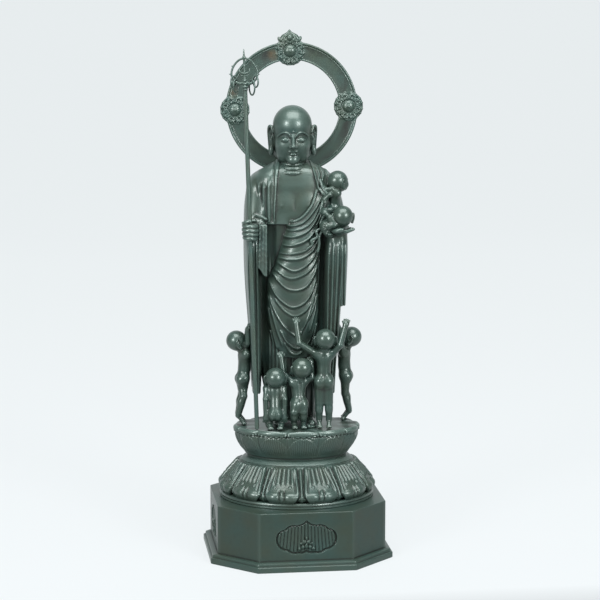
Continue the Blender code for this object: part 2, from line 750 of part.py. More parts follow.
def halo(parts, helpers):
    """Flat ring with raised rims, three scrolled ornaments and a lug on the figure's back."""
    half = HALO_THICKNESS / 2.0
    rim = 0.11 * (HALO_OUTER_RADIUS - HALO_INNER_RADIUS)
    profile = (
        (HALO_OUTER_RADIUS, half + HALO_RIM), (HALO_OUTER_RADIUS, -half), (HALO_INNER_RADIUS, -half),
        (HALO_INNER_RADIUS, half), (HALO_OUTER_RADIUS - rim, half),
        (HALO_OUTER_RADIUS - rim, half + HALO_RIM),
    )
    shape = bmesh.new()
    corners = [shape.verts.new((radius, 0.0, z)) for radius, z in profile]
    for first, second in zip(corners, corners[1:] + corners[:1]):
        shape.edges.new((first, second))
    item = add_object("halo", mesh_from("halo", shape), parts)
    turned = item.modifiers.new("ring", "SCREW")
    turned.steps = 36
    turned.render_steps = 36
    turned.use_merge_vertices = True
    turned.merge_threshold = 1e-5
    turned.use_smooth_shade = False
    place = (
        FIGURE_FRAME
        @ Matrix.Translation((HALO_SIDESTEP, HALO_SETBACK, HALO_CENTRE_HEIGHT))
        @ Matrix.Rotation(-HALO_ROLL, 4, "Y")
        @ UPRIGHT
    )
    item.matrix_world = place
    middle = (HALO_OUTER_RADIUS + HALO_INNER_RADIUS) / 2.0
    ornaments = (("top", 0.0, FLAME_REACH), ("left", -90.0, NUB_REACH), ("right", 90.0, NUB_REACH))
    wheel_thickness = HALO_THICKNESS + 2.0 * WHEEL_RISE
    for name, degrees, peak in ornaments:
        turn = Matrix.Rotation(math.radians(-degrees), 4, "Z")
        frame = place @ turn @ Matrix.Translation((0.0, middle, 0.0))
        outline = ornament_outline(ORNAMENT_RADIUS, peak)
        wheel = outline_prism("wheel_" + name, outline, wheel_thickness, frame)
        boolean(item, make_helper("ornament_" + name, wheel, helpers), "UNION")
        boss = bmesh.new()
        radii = (BOSS_RADIUS, BOSS_RADIUS, 0.75 * BOSS_RADIUS)
        ball(boss, (0.0, 0.0, half + 0.15 * BOSS_RADIUS), radii, around=10, up=6)
        boss.transform(frame)
        boolean(item, make_helper("boss_" + name, mesh_from("boss", boss), helpers), "UNION")
    lug = bmesh.new()
    pad_y = BACK_PAD_Y * UNIT + GAP
    centre = LUG_LEVEL * UNIT
    block(
        lug,
        (-LUG_WIDTH / 2.0, pad_y, centre - LUG_HEIGHT / 2.0),
        (LUG_WIDTH / 2.0, HALO_SETBACK + half, centre + LUG_HEIGHT / 2.0),
    )
    lug.transform(FIGURE_FRAME)
    boolean(item, make_helper("lug", mesh_from("lug", lug), helpers), "UNION")


def child_forms(shape, pose):
    """A small bare child: pose gives each joint's place."""
    head, chest, pelvis = (Vector(place) for place in pose["spine"])
    across = Vector((math.cos(pose["facing"]), math.sin(pose["facing"]), 0.0))
    turn = Matrix.Rotation(pose["facing"], 4, "Z")
    ball(shape, head, (14.3, 14.6, 14.8), around=16, up=10)
    limb(shape, (head, chest), (6.0, 6.0))
    ball(shape, chest, (10.6, 8.2, 11.0), turn)
    limb(shape, (chest, pelvis), (8.4, 8.8))
    ball(shape, pelvis, (10.8, 9.4, 9.4), turn)
    for side, name in ((-1.0, "left"), (1.0, "right")):
        shoulder = chest + across * side * 9.5 + Vector((0.0, 0.0, 6.0))
        hip = pelvis + across * side * 6.0
        limb(shape, (shoulder, *pose[name + "_arm"]), (4.6, 3.8, 3.6))
        limb(shape, (hip, *pose[name + "_leg"]), (7.4, 5.8, 4.0, 3.0))


def child_poses():
    """Each child's joints in the figure's units; the standing ones look up at the figure."""
    return {
        "child_far_left": {
            "facing": math.radians(-80.0),
            "spine": ((-80.0, -12.0, 121.0), (-68.5, -11.0, 97.0), (-71.0, -11.0, 68.0)),
            "left_arm": ((-73.0, -26.0, 120.0), (-71.0, -27.0, 140.0)),
            "right_arm": ((-72.0, 12.0, 114.0), (-70.0, 14.0, 132.0)),
            "left_leg": ((-70.0, -18.0, 42.0), (-79.0, -17.0, 14.0), (-70.0, -19.0, 2.0)),
            "right_leg": ((-72.0, -2.0, 42.0), (-79.0, -2.0, 14.0), (-70.0, -2.0, 2.0)),
        },
        "child_far_right": {
            "facing": math.radians(80.0),
            "spine": ((85.0, 12.0, 121.0), (74.5, 13.0, 94.0), (77.0, 13.0, 66.0)),
            "left_arm": ((71.0, -8.0, 116.0), (69.0, -12.0, 134.0)),
            "right_arm": ((72.0, 30.0, 112.0), (66.0, 30.0, 128.0)),
            "left_leg": ((75.0, 6.0, 40.0), (82.0, 7.0, 14.0), (73.0, 6.0, 2.0)),
            "right_leg": ((76.0, 20.0, 40.0), (83.0, 21.0, 14.0), (75.0, 21.0, 2.0)),
        },
        "child_front_right": {
            "facing": 0.0,
            "spine": ((44.0, -49.0, 129.0), (42.0, -43.0, 101.0), (42.5, -40.0, 70.0)),
            "left_arm": ((12.0, -48.0, 128.0), (4.0, -46.0, 156.0)),
            "right_arm": ((62.0, -50.0, 124.0), (73.0, -48.0, 151.0)),
            "left_leg": ((36.5, -42.0, 36.0), (36.5, -40.0, 10.0), (37.0, -47.0, 2.0)),
            "right_leg": ((49.5, -42.0, 36.0), (50.5, -40.0, 10.0), (49.0, -47.0, 2.0)),
        },
        "child_front_middle": {
            "facing": math.radians(12.0),
            "spine": ((10.5, -50.0, 88.0), (9.0, -46.0, 60.0), (9.5, -43.0, 37.0)),
            "left_arm": ((-13.0, -37.0, 90.0), (-15.0, -35.5, 109.0)),
            "right_arm": ((26.0, -46.0, 80.0), (24.0, -40.0, 102.0)),
            "left_leg": ((1.0, -53.0, 24.0), (0.0, -42.0, 9.0), (0.0, -50.0, 2.0)),
            "right_leg": ((14.0, -50.0, 24.0), (13.5, -42.0, 9.0), (14.0, -50.0, 2.0)),
        },
        "child_front_left": {
            "facing": 0.0,
            "spine": ((-26.5, -50.0, 74.0), (-27.0, -47.0, 46.0), (-27.0, -49.0, 22.0)),
            "left_arm": ((-41.0, -44.0, 40.0), (-37.0, -35.0, 54.0)),
            "right_arm": ((-11.5, -44.0, 40.0), (-15.0, -34.0, 54.0)),
            "left_leg": ((-36.0, -37.0, 6.0), (-35.0, -57.0, 5.0), (-33.0, -60.0, 3.0)),
            "right_leg": ((-16.0, -37.0, 6.0), (-19.0, -57.0, 5.0), (-21.0, -60.0, 3.0)),
        },
        "child_on_arm_upper": {
            "facing": math.radians(-60.0),
            "spine": ((63.0, -20.0, 349.0), (58.0, -22.0, 326.0), (56.0, -19.0, 311.0)),
            "left_arm": ((52.0, -36.0, 333.0), (42.0, -33.0, 334.0)),
            "right_arm": ((52.0, -30.0, 342.0), (44.0, -29.0, 344.0)),
            "left_leg": ((50.0, -33.0, 308.0), (43.0, -32.0, 300.0), (40.0, -31.0, 297.0)),
            "right_leg": ((64.0, -26.0, 305.0), (60.0, -22.0, 297.0), (56.0, -22.0, 294.0)),
        },
        "child_on_arm_lower": {
            "facing": math.radians(10.0),
            "spine": ((68.0, -47.0, 302.5), (54.0, -44.0, 294.0), (47.0, -40.0, 290.0)),
            "left_arm": ((48.0, -50.0, 302.0), (42.0, -42.0, 310.0)),
            "right_arm": ((56.0, -54.0, 292.0), (48.0, -56.0, 290.0)),
            "left_leg": ((42.0, -44.0, 286.0), (46.0, -48.0, 279.0), (49.0, -50.0, 277.0)),
            "right_leg": ((44.0, -38.0, 284.0), (47.0, -40.0, 276.0), (50.0, -42.0, 274.0)),
        },
    }


def children(parts, helpers, figure):
    """Five children on the seat and two that cling to the left arm, clear of the figure."""
    clearance = make_helper("figure_clearance", evaluated_mesh(figure), helpers)
    grown = clearance.modifiers.new("grown", "DISPLACE")
    grown.strength = GAP
    grown.mid_level = 0.0
    for name, pose in child_poses().items():
        shape = bmesh.new()
        child_forms(shape, pose)
        item = clay(name, shape, 1.3, 2, 280, parts)
        if "arm" in name:
            boolean(item, clearance, "DIFFERENCE")
        else:
            cut_level(item, helpers)


main()
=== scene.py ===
"""Finished surfaces of a bronze Jizo with seven children on a lotus pedestal, with its studio.

The figures, staff and halo are modelled in clay: forms fused on a grid of cells, in figure
units, which are 455ths of the standing figure's height. The pedestal's castings are closed
skins in millimetres.
"""

import json
import math
from collections import namedtuple

import bmesh
import bpy
import numpy as np
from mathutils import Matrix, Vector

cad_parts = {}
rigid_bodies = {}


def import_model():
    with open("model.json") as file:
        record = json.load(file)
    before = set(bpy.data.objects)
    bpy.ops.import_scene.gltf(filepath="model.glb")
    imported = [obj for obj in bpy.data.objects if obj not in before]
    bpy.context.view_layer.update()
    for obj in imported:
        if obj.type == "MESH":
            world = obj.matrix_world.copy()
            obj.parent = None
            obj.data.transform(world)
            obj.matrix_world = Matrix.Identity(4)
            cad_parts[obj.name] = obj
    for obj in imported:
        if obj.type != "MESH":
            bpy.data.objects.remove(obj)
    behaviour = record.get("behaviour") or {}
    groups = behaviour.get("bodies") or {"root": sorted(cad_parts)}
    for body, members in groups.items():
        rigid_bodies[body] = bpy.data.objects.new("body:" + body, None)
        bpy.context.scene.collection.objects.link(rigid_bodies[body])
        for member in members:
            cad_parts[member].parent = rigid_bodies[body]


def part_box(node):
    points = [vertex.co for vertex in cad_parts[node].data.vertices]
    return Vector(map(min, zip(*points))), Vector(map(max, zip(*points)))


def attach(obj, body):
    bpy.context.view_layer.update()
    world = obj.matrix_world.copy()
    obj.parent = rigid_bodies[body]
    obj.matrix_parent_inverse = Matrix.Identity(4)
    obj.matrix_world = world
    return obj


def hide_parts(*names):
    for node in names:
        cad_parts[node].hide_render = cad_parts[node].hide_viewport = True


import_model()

import openvdb
from bpy.props import FloatProperty, FloatVectorProperty, IntProperty, PointerProperty
from mathutils import Matrix, Vector

bl_info = {
    "name": "Bronze Jizo",
    "version": (1, 0, 0),
    "blender": (4, 5, 0),
    "location": "3D View > Sidebar > Jizo",
    "description": "Models a bronze Jizo with children on a lotus pedestal",
    "category": "Add Mesh",
}

BODY = "root"
FAR = 1.0e3
MM = 0.001

# Places read from the frame
PLINTH_LOW, PLINTH_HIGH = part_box("plinth")
LOTUS_LOW, LOTUS_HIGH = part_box("lower_lotus")
SEAT_LOW, SEAT_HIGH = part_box("seat")

Form = namedtuple("Form", "low high distance")


# Clay

def soft_min(first, second, blend):
    """The nearer of two distances, rounded where they are within blend of each other."""
    nearest = np.minimum(first, second)
    if blend > 0.0:
        close = np.maximum(blend - np.abs(first - second), 0.0)
        nearest -= close * close * np.float32(0.25 / blend)
    return nearest


def ease(value):
    """0 to 1 with level ends."""
    share = np.clip(value, 0.0, 1.0)
    return share * share * (3.0 - 2.0 * share)


class Modelling:
    """Ropes and limbs, for whatever forms can be added to and cut from."""

    def rope(self, points, radii, blend=0.0, steps=4, cut=False):
        """A round rope, or a groove, along a smooth route."""
        route = curve(points, steps)
        if np.ndim(radii) == 0:
            radii = [radii] * len(points)
        share = np.linspace(0.0, len(points) - 1.0, len(route))
        thick = np.interp(share, range(len(points)), radii)
        work = self.cut if cut else self.add
        for start, end, first, last in zip(route, route[1:], thick, thick[1:]):
            work(rod(start, end, first, last), blend)

    def limb(self, points, radii, blend=0.0):
        """Straight tapering lengths through joints."""
        for start, end, first, last in zip(points, points[1:], radii, radii[1:]):
            self.add(rod(start, end, first, last), blend)


class Clay(Modelling):
    """Forms fused on a grid of cells: a signed distance at each corner, below zero inside."""

    def __init__(self, low, high, cell):
        self.cell = cell
        self.first = np.floor(np.array(low) / cell).astype(int)
        last = np.ceil(np.array(high) / cell).astype(int)
        self.axes = [
            np.arange(start, end + 1, dtype=np.float32) * np.float32(cell)
            for start, end in zip(self.first, last)
        ]
        self.field = np.full([len(axis) for axis in self.axes], FAR, np.float32)

    def window(self, form, spare):
        part = []
        for axis, low, high in zip(self.axes, form.low, form.high):
            start, end = np.searchsorted(axis, (low - spare, high + spare))
            part.append(slice(max(int(start) - 1, 0), int(end) + 1))
        return tuple(part), np.ix_(*(axis[span] for axis, span in zip(self.axes, part)))

    def add(self, form, blend=0.0):
        part, place = self.window(form, blend + 3.0 * self.cell)
        self.field[part] = soft_min(self.field[part], form.distance(*place), blend)

    def cut(self, form, blend=0.0):
        part, place = self.window(form, blend + 3.0 * self.cell)
        self.field[part] = -soft_min(-self.field[part], form.distance(*place), blend)

    def stand_flat(self):
        """Cut level, a hair above the seat."""
        self.cut(slab((-200, -200, -30), (200, 200, SEAT_GAP)))

    def sample(self, places):
        """The distance at scattered places, read between the grid's corners."""
        spot = places / self.cell - self.first
        top = np.array(self.field.shape) - 2
        base = np.clip(np.floor(spot).astype(int), 0, top)
        share = np.clip(spot - base, 0.0, 1.0).astype(np.float32)
        total = np.zeros(len(places), np.float32)
        for i in (0, 1):
            for j in (0, 1):
                for k in (0, 1):
                    weight = (
                        (share[:, 0] if i else 1.0 - share[:, 0])
                        * (share[:, 1] if j else 1.0 - share[:, 1])
                        * (share[:, 2] if k else 1.0 - share[:, 2])
                    )
                    total += weight * self.field[base[:, 0] + i, base[:, 1] + j, base[:, 2] + k]
        return total

    def slope(self, places):
        """Unit outward directions at scattered places."""
        step = 0.75 * self.cell
        columns = []
        for axis in np.eye(3):
            columns.append(self.sample(places + axis * step) - self.sample(places - axis * step))
        normal = np.stack(columns, axis=1)
        return normal / np.maximum(np.linalg.norm(normal, axis=1, keepdims=True), 1e-9)

    def skin(self, name):
        """The clay's surface as a mesh in its own units."""
        band = 3.0 * self.cell
        grid = openvdb.FloatGrid(band)
        grid.copyFromArray(np.clip(self.field, -band, band))
        points, quads = grid.convertToQuads(isovalue=0.0)
        return quad_mesh(name, (points + self.first) * self.cell, quads)


class Placed(Modelling):
    """A place on some clay: forms are scaled, turned and shifted on their way to it.

    joins scales the roundness of the joins.
    """

    def __init__(self, clay, place, scale, joins):
        self.clay = clay
        self.place = place
        self.scale = scale
        self.joins = joins

    def add(self, form, blend=0.0):
        self.clay.add(moved(form, self.place, self.scale), blend * self.joins)

    def cut(self, form, blend=0.0):
        self.clay.cut(moved(form, self.place, self.scale), blend * self.joins)


def quad_mesh(name, points, quads):
    mesh = bpy.data.meshes.new(name)
    mesh.vertices.add(len(points))
    mesh.vertices.foreach_set("co", np.asarray(points, np.float32).ravel())
    mesh.loops.add(quads.size)
    mesh.loops.foreach_set("vertex_index", np.asarray(quads, np.int32).ravel())
    mesh.polygons.add(len(quads))
    mesh.polygons.foreach_set("loop_start", np.arange(0, quads.size, 4, dtype=np.int32))
    mesh.update(calc_edges=True)
    mesh.validate()
    return mesh


def curve(points, steps):
    """Points on the smooth curve through given points, which it passes in order."""
    given = np.array(points, float)
    if len(given) < 3:
        return given
    padded = np.vstack([2 * given[0] - given[1], given, 2 * given[-1] - given[-2]])
    out = []
    for before, start, end, after in zip(padded, padded[1:], padded[2:], padded[3:]):
        for step in range(steps):
            t = step / steps
            out.append(0.5 * (
                2 * start + (end - before) * t
                + (2 * before - 5 * start + 4 * end - after) * t ** 2
                + (3 * start - before - 3 * end + after) * t ** 3
            ))
    out.append(given[-1])
    return np.array(out)


def egg(centre, radii, turn=None):
    """An ellipsoid; turn is a rotation matrix."""
    centre = np.array(centre, np.float32)
    radii = np.array(radii, np.float32)
    reach = radii if turn is None else np.full(3, radii.max())
    spin = None if turn is None else np.array(turn.to_3x3().transposed(), np.float32)

    def distance(x, y, z):
        x, y, z = x - centre[0], y - centre[1], z - centre[2]
        if spin is not None:
            x, y, z = (row[0] * x + row[1] * y + row[2] * z for row in spin)
        x, y, z = x / radii[0], y / radii[1], z / radii[2]
        near = np.sqrt(x * x + y * y + z * z)
        x, y, z = x / radii[0], y / radii[1], z / radii[2]
        return near * (near - 1.0) / (np.sqrt(x * x + y * y + z * z) + 1e-6)

    return Form(centre - reach, centre + reach, distance)


def rod(start, end, first, last):
    """A round rod with ball ends whose radius runs from first to last."""
    start = np.array(start, np.float32)
    end = np.array(end, np.float32)
    along = end - start
    square = max(float(along @ along), 1e-9)
    low = np.minimum(start - first, end - last)
    high = np.maximum(start + first, end + last)

    def distance(x, y, z):
        x, y, z = x - start[0], y - start[1], z - start[2]
        share = np.clip((x * along[0] + y * along[1] + z * along[2]) / square, 0.0, 1.0)
        x, y, z = x - share * along[0], y - share * along[1], z - share * along[2]
        return np.sqrt(x * x + y * y + z * z) - (first + (last - first) * share)

    return Form(low, high, distance)


def slab(low, high, rounding=0.0):
    """A block with rounded edges."""
    low = np.array(low, np.float32)
    high = np.array(high, np.float32)
    centre = (low + high) / 2.0
    half = (high - low) / 2.0 - rounding

    def distance(x, y, z):
        x = np.abs(x - centre[0]) - half[0]
        y = np.abs(y - centre[1]) - half[1]
        z = np.abs(z - centre[2]) - half[2]
        outside = np.sqrt(np.maximum(x, 0) ** 2 + np.maximum(y, 0) ** 2 + np.maximum(z, 0) ** 2)
        return outside + np.minimum(np.maximum(np.maximum(x, y), z), 0.0) - rounding

    return Form(low, high, distance)


def moved(form, place, scale=1.0):
    """A form carried to a new place: turned and shifted by a matrix, after scaling."""
    spin = np.array(place.to_3x3(), np.float32)
    shift = np.array(place.translation, np.float32)
    corners = [
        spin @ (np.array([x, y, z]) * scale) + shift
        for x in (form.low[0], form.high[0])
        for y in (form.low[1], form.high[1])
        for z in (form.low[2], form.high[2])
    ]
    back = spin.T / scale

    def distance(x, y, z):
        x, y, z = x - shift[0], y - shift[1], z - shift[2]
        own = [row[0] * x + row[1] * y + row[2] * z for row in back]
        return form.distance(*own) * np.float32(scale)

    return Form(np.min(corners, axis=0), np.max(corners, axis=0), distance)


def read_rows(rows, z):
    """Each column of a table of rows read smoothly at heights z."""
    table = np.array(rows, float)
    key = table[:, 0]
    slope = np.gradient(table, key, axis=0)
    flat = np.clip(np.ravel(z), key[0], key[-1])
    index = np.clip(np.searchsorted(key, flat) - 1, 0, len(key) - 2)
    step = (key[index + 1] - key[index])[:, None]
    t = (flat[:, None] - key[index][:, None]) / step
    start, end = table[index], table[index + 1]
    out = (
        (1 + 2 * t) * (1 - t) ** 2 * start + t * (1 - t) ** 2 * step * slope[index]
        + t ** 2 * (3 - 2 * t) * end + t ** 2 * (t - 1) * step * slope[index + 1]
    )
    return [out[:, i].reshape(np.shape(z)).astype(np.float32) for i in range(1, table.shape[1])]


def hanging(rows, squareness, front=None, back=None, pleats=None, rounding=2.0):
    """An upright form through ovals, given as height, centre x and y, half width, half depth.

    front and back are reliefs seen along y; pleats gives a height for an angle and a level.
    """
    table = np.array(rows)
    power = np.float32(squareness)
    swell = 6.0
    middles, halves = table[:, 1:3], table[:, 3:5]
    low = np.append((middles - halves).min(axis=0) - swell, table[0, 0])
    high = np.append((middles + halves).max(axis=0) + swell, table[-1, 0])

    def distance(x, y, z):
        cx, cy, a, b = read_rows(rows, z)
        across = np.abs(x - cx) / a
        deep = np.abs(y - cy) / b
        reach = (across ** power + deep ** power) ** (1.0 / power) + np.float32(1e-4)
        fall = reach ** (1.0 - power)
        steep = np.sqrt(
            (across ** (power - 1.0) * fall / a) ** 2 + (deep ** (power - 1.0) * fall / b) ** 2
        )
        out = (reach - 1.0) / np.maximum(steep, 1.0 / (3.0 * np.maximum(a, b)))
        if pleats is not None:
            out -= pleats(np.arctan2((y - cy) / b, (x - cx) / a), z)
        if front is not None:
            out -= front.at(x, z) * np.clip((cy - y) / b * 3.0, 0.0, 1.0)
        if back is not None:
            out -= back.at(x, z) * np.clip((y - cy) / b * 3.0, 0.0, 1.0)
        ends = np.maximum(low[2] - z, z - high[2])
        return -soft_min(-out, -np.broadcast_to(ends, out.shape), rounding)

    return Form(low, high, distance)


class Relief:
    """Heights drawn on an upright sheet that is seen along y, on a clay's own cells."""

    def __init__(self, clay):
        self.clay = clay
        self.x = clay.axes[0][:, None]
        self.z = clay.axes[2][None, :]
        self.raised = np.zeros((len(clay.axes[0]), len(clay.axes[2])), np.float32)
        self.sunk = np.zeros_like(self.raised)

    def trace(self, points):
        """Distance to a smooth route, which side each cell is on, and the share along it."""
        route = curve(points, 6)
        near = np.full(self.raised.shape, FAR, np.float32)
        side = np.ones_like(near)
        along = np.zeros_like(near)
        count = len(route) - 1
        for i in range(count):
            dx, dz = route[i + 1] - route[i]
            x, z = self.x - np.float32(route[i][0]), self.z - np.float32(route[i][1])
            share = np.clip((x * dx + z * dz) / max(dx * dx + dz * dz, 1e-9), 0.0, 1.0)
            away = np.hypot(x - share * dx, z - share * dz)
            closer = away < near
            near = np.where(closer, away, near)
            side = np.where(closer, np.where(dx * z - dz * x > 0.0, 1.0, -1.0), side)
            along = np.where(closer, (i + share) / count, along)
        return near, side, along

    def fold(self, points, height, above, below=None, ends=(0.15, 0.15)):
        """A ridge along a route, or a groove where height is below 0; widths differ by side."""
        near, side, along = self.trace(points)
        width = np.where(side > 0.0, above, above if below is None else below)
        fade = ease(along / max(ends[0], 1e-3)) * ease((1.0 - along) / max(ends[1], 1e-3))
        shape = (height * fade * np.exp(-(near / width) ** 2)).astype(np.float32)
        if height > 0.0:
            self.raised = np.maximum(self.raised, shape)
        else:
            self.sunk += shape

    def step(self, points, height, width):
        """Ground raised on the left of a route, over a slope of some width."""
        near, side, _ = self.trace(points)
        self.sunk += (height * ease(0.5 + near * side / width)).astype(np.float32)

    def at(self, x, z):
        i = np.rint(np.ravel(x) / self.clay.cell).astype(int) - self.clay.first[0]
        k = np.rint(np.ravel(z) / self.clay.cell).astype(int) - self.clay.first[2]
        return (self.raised + self.sunk)[i][:, k][:, None, :]


# Meshes

def thinned(mesh, budget):
    """A copy of a mesh with at most a number of triangles."""
    triangles = sum(len(face.vertices) - 2 for face in mesh.polygons)
    if triangles <= budget:
        return mesh
    item = bpy.data.objects.new("thinning", mesh)
    bpy.context.scene.collection.objects.link(item)
    modifier = item.modifiers.new("thin", "DECIMATE")
    modifier.ratio = budget / triangles
    return applied(item)


def applied(item):
    """The mesh of an object with its modifiers applied; the object is removed."""
    bpy.context.view_layer.update()
    depsgraph = bpy.context.evaluated_depsgraph_get()
    mesh = bpy.data.meshes.new_from_object(item.evaluated_get(depsgraph), depsgraph=depsgraph)
    bpy.data.objects.remove(item, do_unlink=True)
    return mesh


def joined(first, second):
    """Two closed meshes united into one."""
    items = []
    for mesh in (first, second):
        item = bpy.data.objects.new("joining", mesh)
        bpy.context.scene.collection.objects.link(item)
        items.append(item)
    modifier = items[0].modifiers.new("join", "BOOLEAN")
    modifier.operation = "UNION"
    modifier.solver = "MANIFOLD"
    modifier.object = items[1]
    mesh = applied(items[0])
    bpy.data.objects.remove(items[1], do_unlink=True)
    if len(mesh.vertices) < len(second.vertices):
        raise RuntimeError("a head could not be joined to its body")
    return mesh


def places_of(mesh):
    flat = np.empty(3 * len(mesh.vertices), np.float32)
    mesh.vertices.foreach_get("co", flat)
    return flat.reshape(-1, 3)


def burnish(mesh, clays):
    """Smooth normals read from the clay that each point of a mesh came from."""
    places = places_of(mesh).astype(float)
    if len(clays) == 1:
        normals = clays[0].slope(places)
    else:
        nearness = np.stack([np.abs(clay.sample(places)) for clay in clays])
        chosen = nearness.argmin(axis=0)
        normals = np.zeros((len(places), 3), np.float32)
        for index, clay in enumerate(clays):
            normals[chosen == index] = clay.slope(places[chosen == index])
    mesh.shade_smooth()
    mesh.normals_split_custom_set_from_vertices(normals)


# Depth of a fully marked hollow, in a mesh's own units
HOLLOW_REACH = 0.9


def mark_hollows(mesh, rounds):
    """Stores how far each point lies in a hollow, above 0, or on a ridge, below 0."""
    places = places_of(mesh).astype(float)
    ends = np.empty(2 * len(mesh.edges), np.int32)
    mesh.edges.foreach_get("vertices", ends)
    a, b = ends.reshape(-1, 2).T
    count = len(places)
    degree = np.maximum(np.bincount(a, minlength=count) + np.bincount(b, minlength=count), 1)
    soft = places.copy()
    for _ in range(rounds):
        soft = np.stack([
            np.bincount(a, soft[b, axis], count) + np.bincount(b, soft[a, axis], count)
            for axis in range(3)
        ], axis=1) / degree[:, None]
    normals = np.empty(3 * count, np.float32)
    mesh.vertices.foreach_get("normal", normals)
    hollow = ((soft - places) * normals.reshape(-1, 3)).sum(axis=1) / HOLLOW_REACH
    layer = mesh.attributes.new("hollow", "FLOAT", "POINT")
    layer.data.foreach_set("value", np.clip(hollow, -1.0, 1.0).astype(np.float32))


def hand_over(name, mesh, material, node):
    """Puts a finished mesh in the scene in place of its node."""
    mesh.materials.clear()
    mesh.materials.append(material)
    item = bpy.data.objects.new(name, mesh)
    bpy.context.scene.collection.objects.link(item)
    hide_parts(node)
    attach(item, BODY)


# Materials

class Wire:
    """A shader socket that adds a Math node for each operation on it."""

    def __init__(self, recipe, socket):
        self.recipe = recipe
        self.socket = socket

    def math(self, operation, *values, clamp=False):
        settings = {"operation": operation, "use_clamp": clamp}
        return self.recipe.node("ShaderNodeMath", settings, values)["Value"]

    def __add__(self, other):
        return self.math("ADD", self, other)

    def __radd__(self, other):
        return self.math("ADD", other, self)

    def __sub__(self, other):
        return self.math("SUBTRACT", self, other)

    def __rsub__(self, other):
        return self.math("SUBTRACT", other, self)

    def __mul__(self, other):
        return self.math("MULTIPLY", self, other)

    def __rmul__(self, other):
        return self.math("MULTIPLY", other, self)

    def held(self):
        """Kept between 0 and 1."""
        return self.math("ADD", self, 0.0, clamp=True)


class Recipe:
    """A material's nodes."""

    def __init__(self, name):
        self.material = bpy.data.materials.new(name)
        self.material.use_nodes = True
        self.tree = self.material.node_tree
        self.shader = self.tree.nodes["Principled BSDF"]

    def node(self, kind, settings=None, values=()):
        """Adds a node: its settings, then values or wires for its sockets by order or name."""
        node = self.tree.nodes.new(kind)
        for key, value in (settings or {}).items():
            setattr(node, key, value)
        pairs = values.items() if isinstance(values, dict) else enumerate(values)
        for key, value in pairs:
            self.feed(node.inputs[key], value)
        return {socket.name: Wire(self, socket) for socket in node.outputs if socket.enabled}

    def feed(self, socket, value):
        if isinstance(value, Wire):
            self.tree.links.new(value.socket, socket)
        else:
            socket.default_value = value

    def blend(self, share, first, second):
        """A colour between two colours."""
        return self.node("ShaderNodeMix", {"data_type": "RGBA"}, {0: share, 6: first, 7: second})["Result"]

    def noise(self, place, scale, detail):
        values = {"Vector": place, "Scale": scale, "Detail": detail}
        return self.node("ShaderNodeTexNoise", None, values)["Fac"]


def patina(name, settings, gloss=0.0, lift=1.0, wear=0.75, shine=0.5, stain=None):
    """Dark green patina: brown-black in the hollows, partly the real patina and partly painted shade; paler
    where hands have rubbed the ridges.

    gloss lowers the roughness, lift scales the colours and wear is how much the ridges are
    rubbed; shine is the strength of reflections and stain the middle and reach of each stain.
    """
    recipe = Recipe(name)
    place = recipe.node("ShaderNodeTexCoord")["Object"]
    cloud = recipe.noise(place, 26.0, 4.0)
    mottle = recipe.noise(place, 140.0, 3.0)
    grain = recipe.noise(place, 900.0, 2.0)
    hollow = recipe.node("ShaderNodeAttribute", {"attribute_name": "hollow"})["Fac"]
    # Hollow mask: the patina's brown-black in the hollows, deepened as painted shade where recesses fall into
    # shadow
    deep = (hollow * 1.5 + (mottle - 0.5) * 0.5).held()
    rubbed = (hollow * -1.7 + (mottle - 0.5) * 0.35 - 0.08).held()
    dark, light = ([lift * value for value in colour] for colour in (settings.ground, settings.bloom))
    ground = recipe.blend((cloud * 2.4 - 0.7).held(), (*dark, 1.0), (*light, 1.0))
    # Hollows painted brown-black: partly the real patina, partly painted shade
    colour = recipe.blend(deep, ground, (*settings.hollow_patina_and_shade, 1.0))
    colour = recipe.blend(rubbed * wear, colour, (*settings.rubbed, 1.0))
    if stain is not None:
        colour = stained(recipe, place, colour, mottle, stain, settings)
    recipe.feed(recipe.shader.inputs["Base Color"], colour)
    rough = settings.roughness - gloss + deep * 0.16 - rubbed * 0.06 + (grain - 0.5) * 0.10
    recipe.feed(recipe.shader.inputs["Roughness"], rough + (cloud - 0.5) * 0.12)
    height = mottle * 0.6 + grain * 0.25
    bump = recipe.node("ShaderNodeBump", None, {
        "Strength": settings.texture, "Distance": 0.0004, "Height": height,
    })["Normal"]
    recipe.feed(recipe.shader.inputs["Normal"], bump)
    for socket, value in (
        ("Metallic", settings.metallic), ("Specular IOR Level", shine),
        ("Specular Tint", (*settings.reflection, 1.0)), ("Coat Weight", settings.wax),
        ("Coat Roughness", settings.wax_roughness),
    ):
        recipe.shader.inputs[socket].default_value = value
    return recipe.material


def stained(recipe, place, colour, mottle, stain, settings):
    """Brown stains that fade away from given places."""
    total = None
    for spot, reach in stain:
        away = recipe.node("ShaderNodeVectorMath", {"operation": "DISTANCE"}, (place, spot))["Value"]
        near = (1.0 - away * (1.0 / reach)).held()
        total = near if total is None else (total + near).held()
    share = (total * (mottle * 1.4 - 0.1)).held()
    return recipe.blend(share * 0.6, colour, (*settings.stain, 1.0))


# Settings

def colour_setting(name, description, value):
    return FloatVectorProperty(
        name=name, description=description, subtype="COLOR", size=3, min=0.0, max=1.0, default=value)


def share_setting(name, description, value):
    return FloatProperty(
        name=name, description=description, subtype="FACTOR", min=0.0, max=1.0, default=value)


def length_setting(name, description, value):
    return FloatProperty(
        name=name, description=description, subtype="DISTANCE", unit="LENGTH", min=0.0, default=value)


def angle_setting(name, description, degrees):
    return FloatProperty(
        name=name, description=description, subtype="ANGLE", unit="ROTATION",
        default=math.radians(degrees))


def power_setting(name, description, watts):
    return FloatProperty(
        name=name, description=description, subtype="POWER", unit="POWER", min=0.0, default=watts)


def cell_setting(piece, value):
    return FloatProperty(
        name=f"{piece} cell", description=f"Cell of the clay in figure units: {piece.lower()}",
        min=0.2, default=value)


def budget_setting(piece, count):
    return IntProperty(
        name=f"{piece} triangles", description=f"Triangles kept: {piece.lower()}",
        min=1000, default=count)


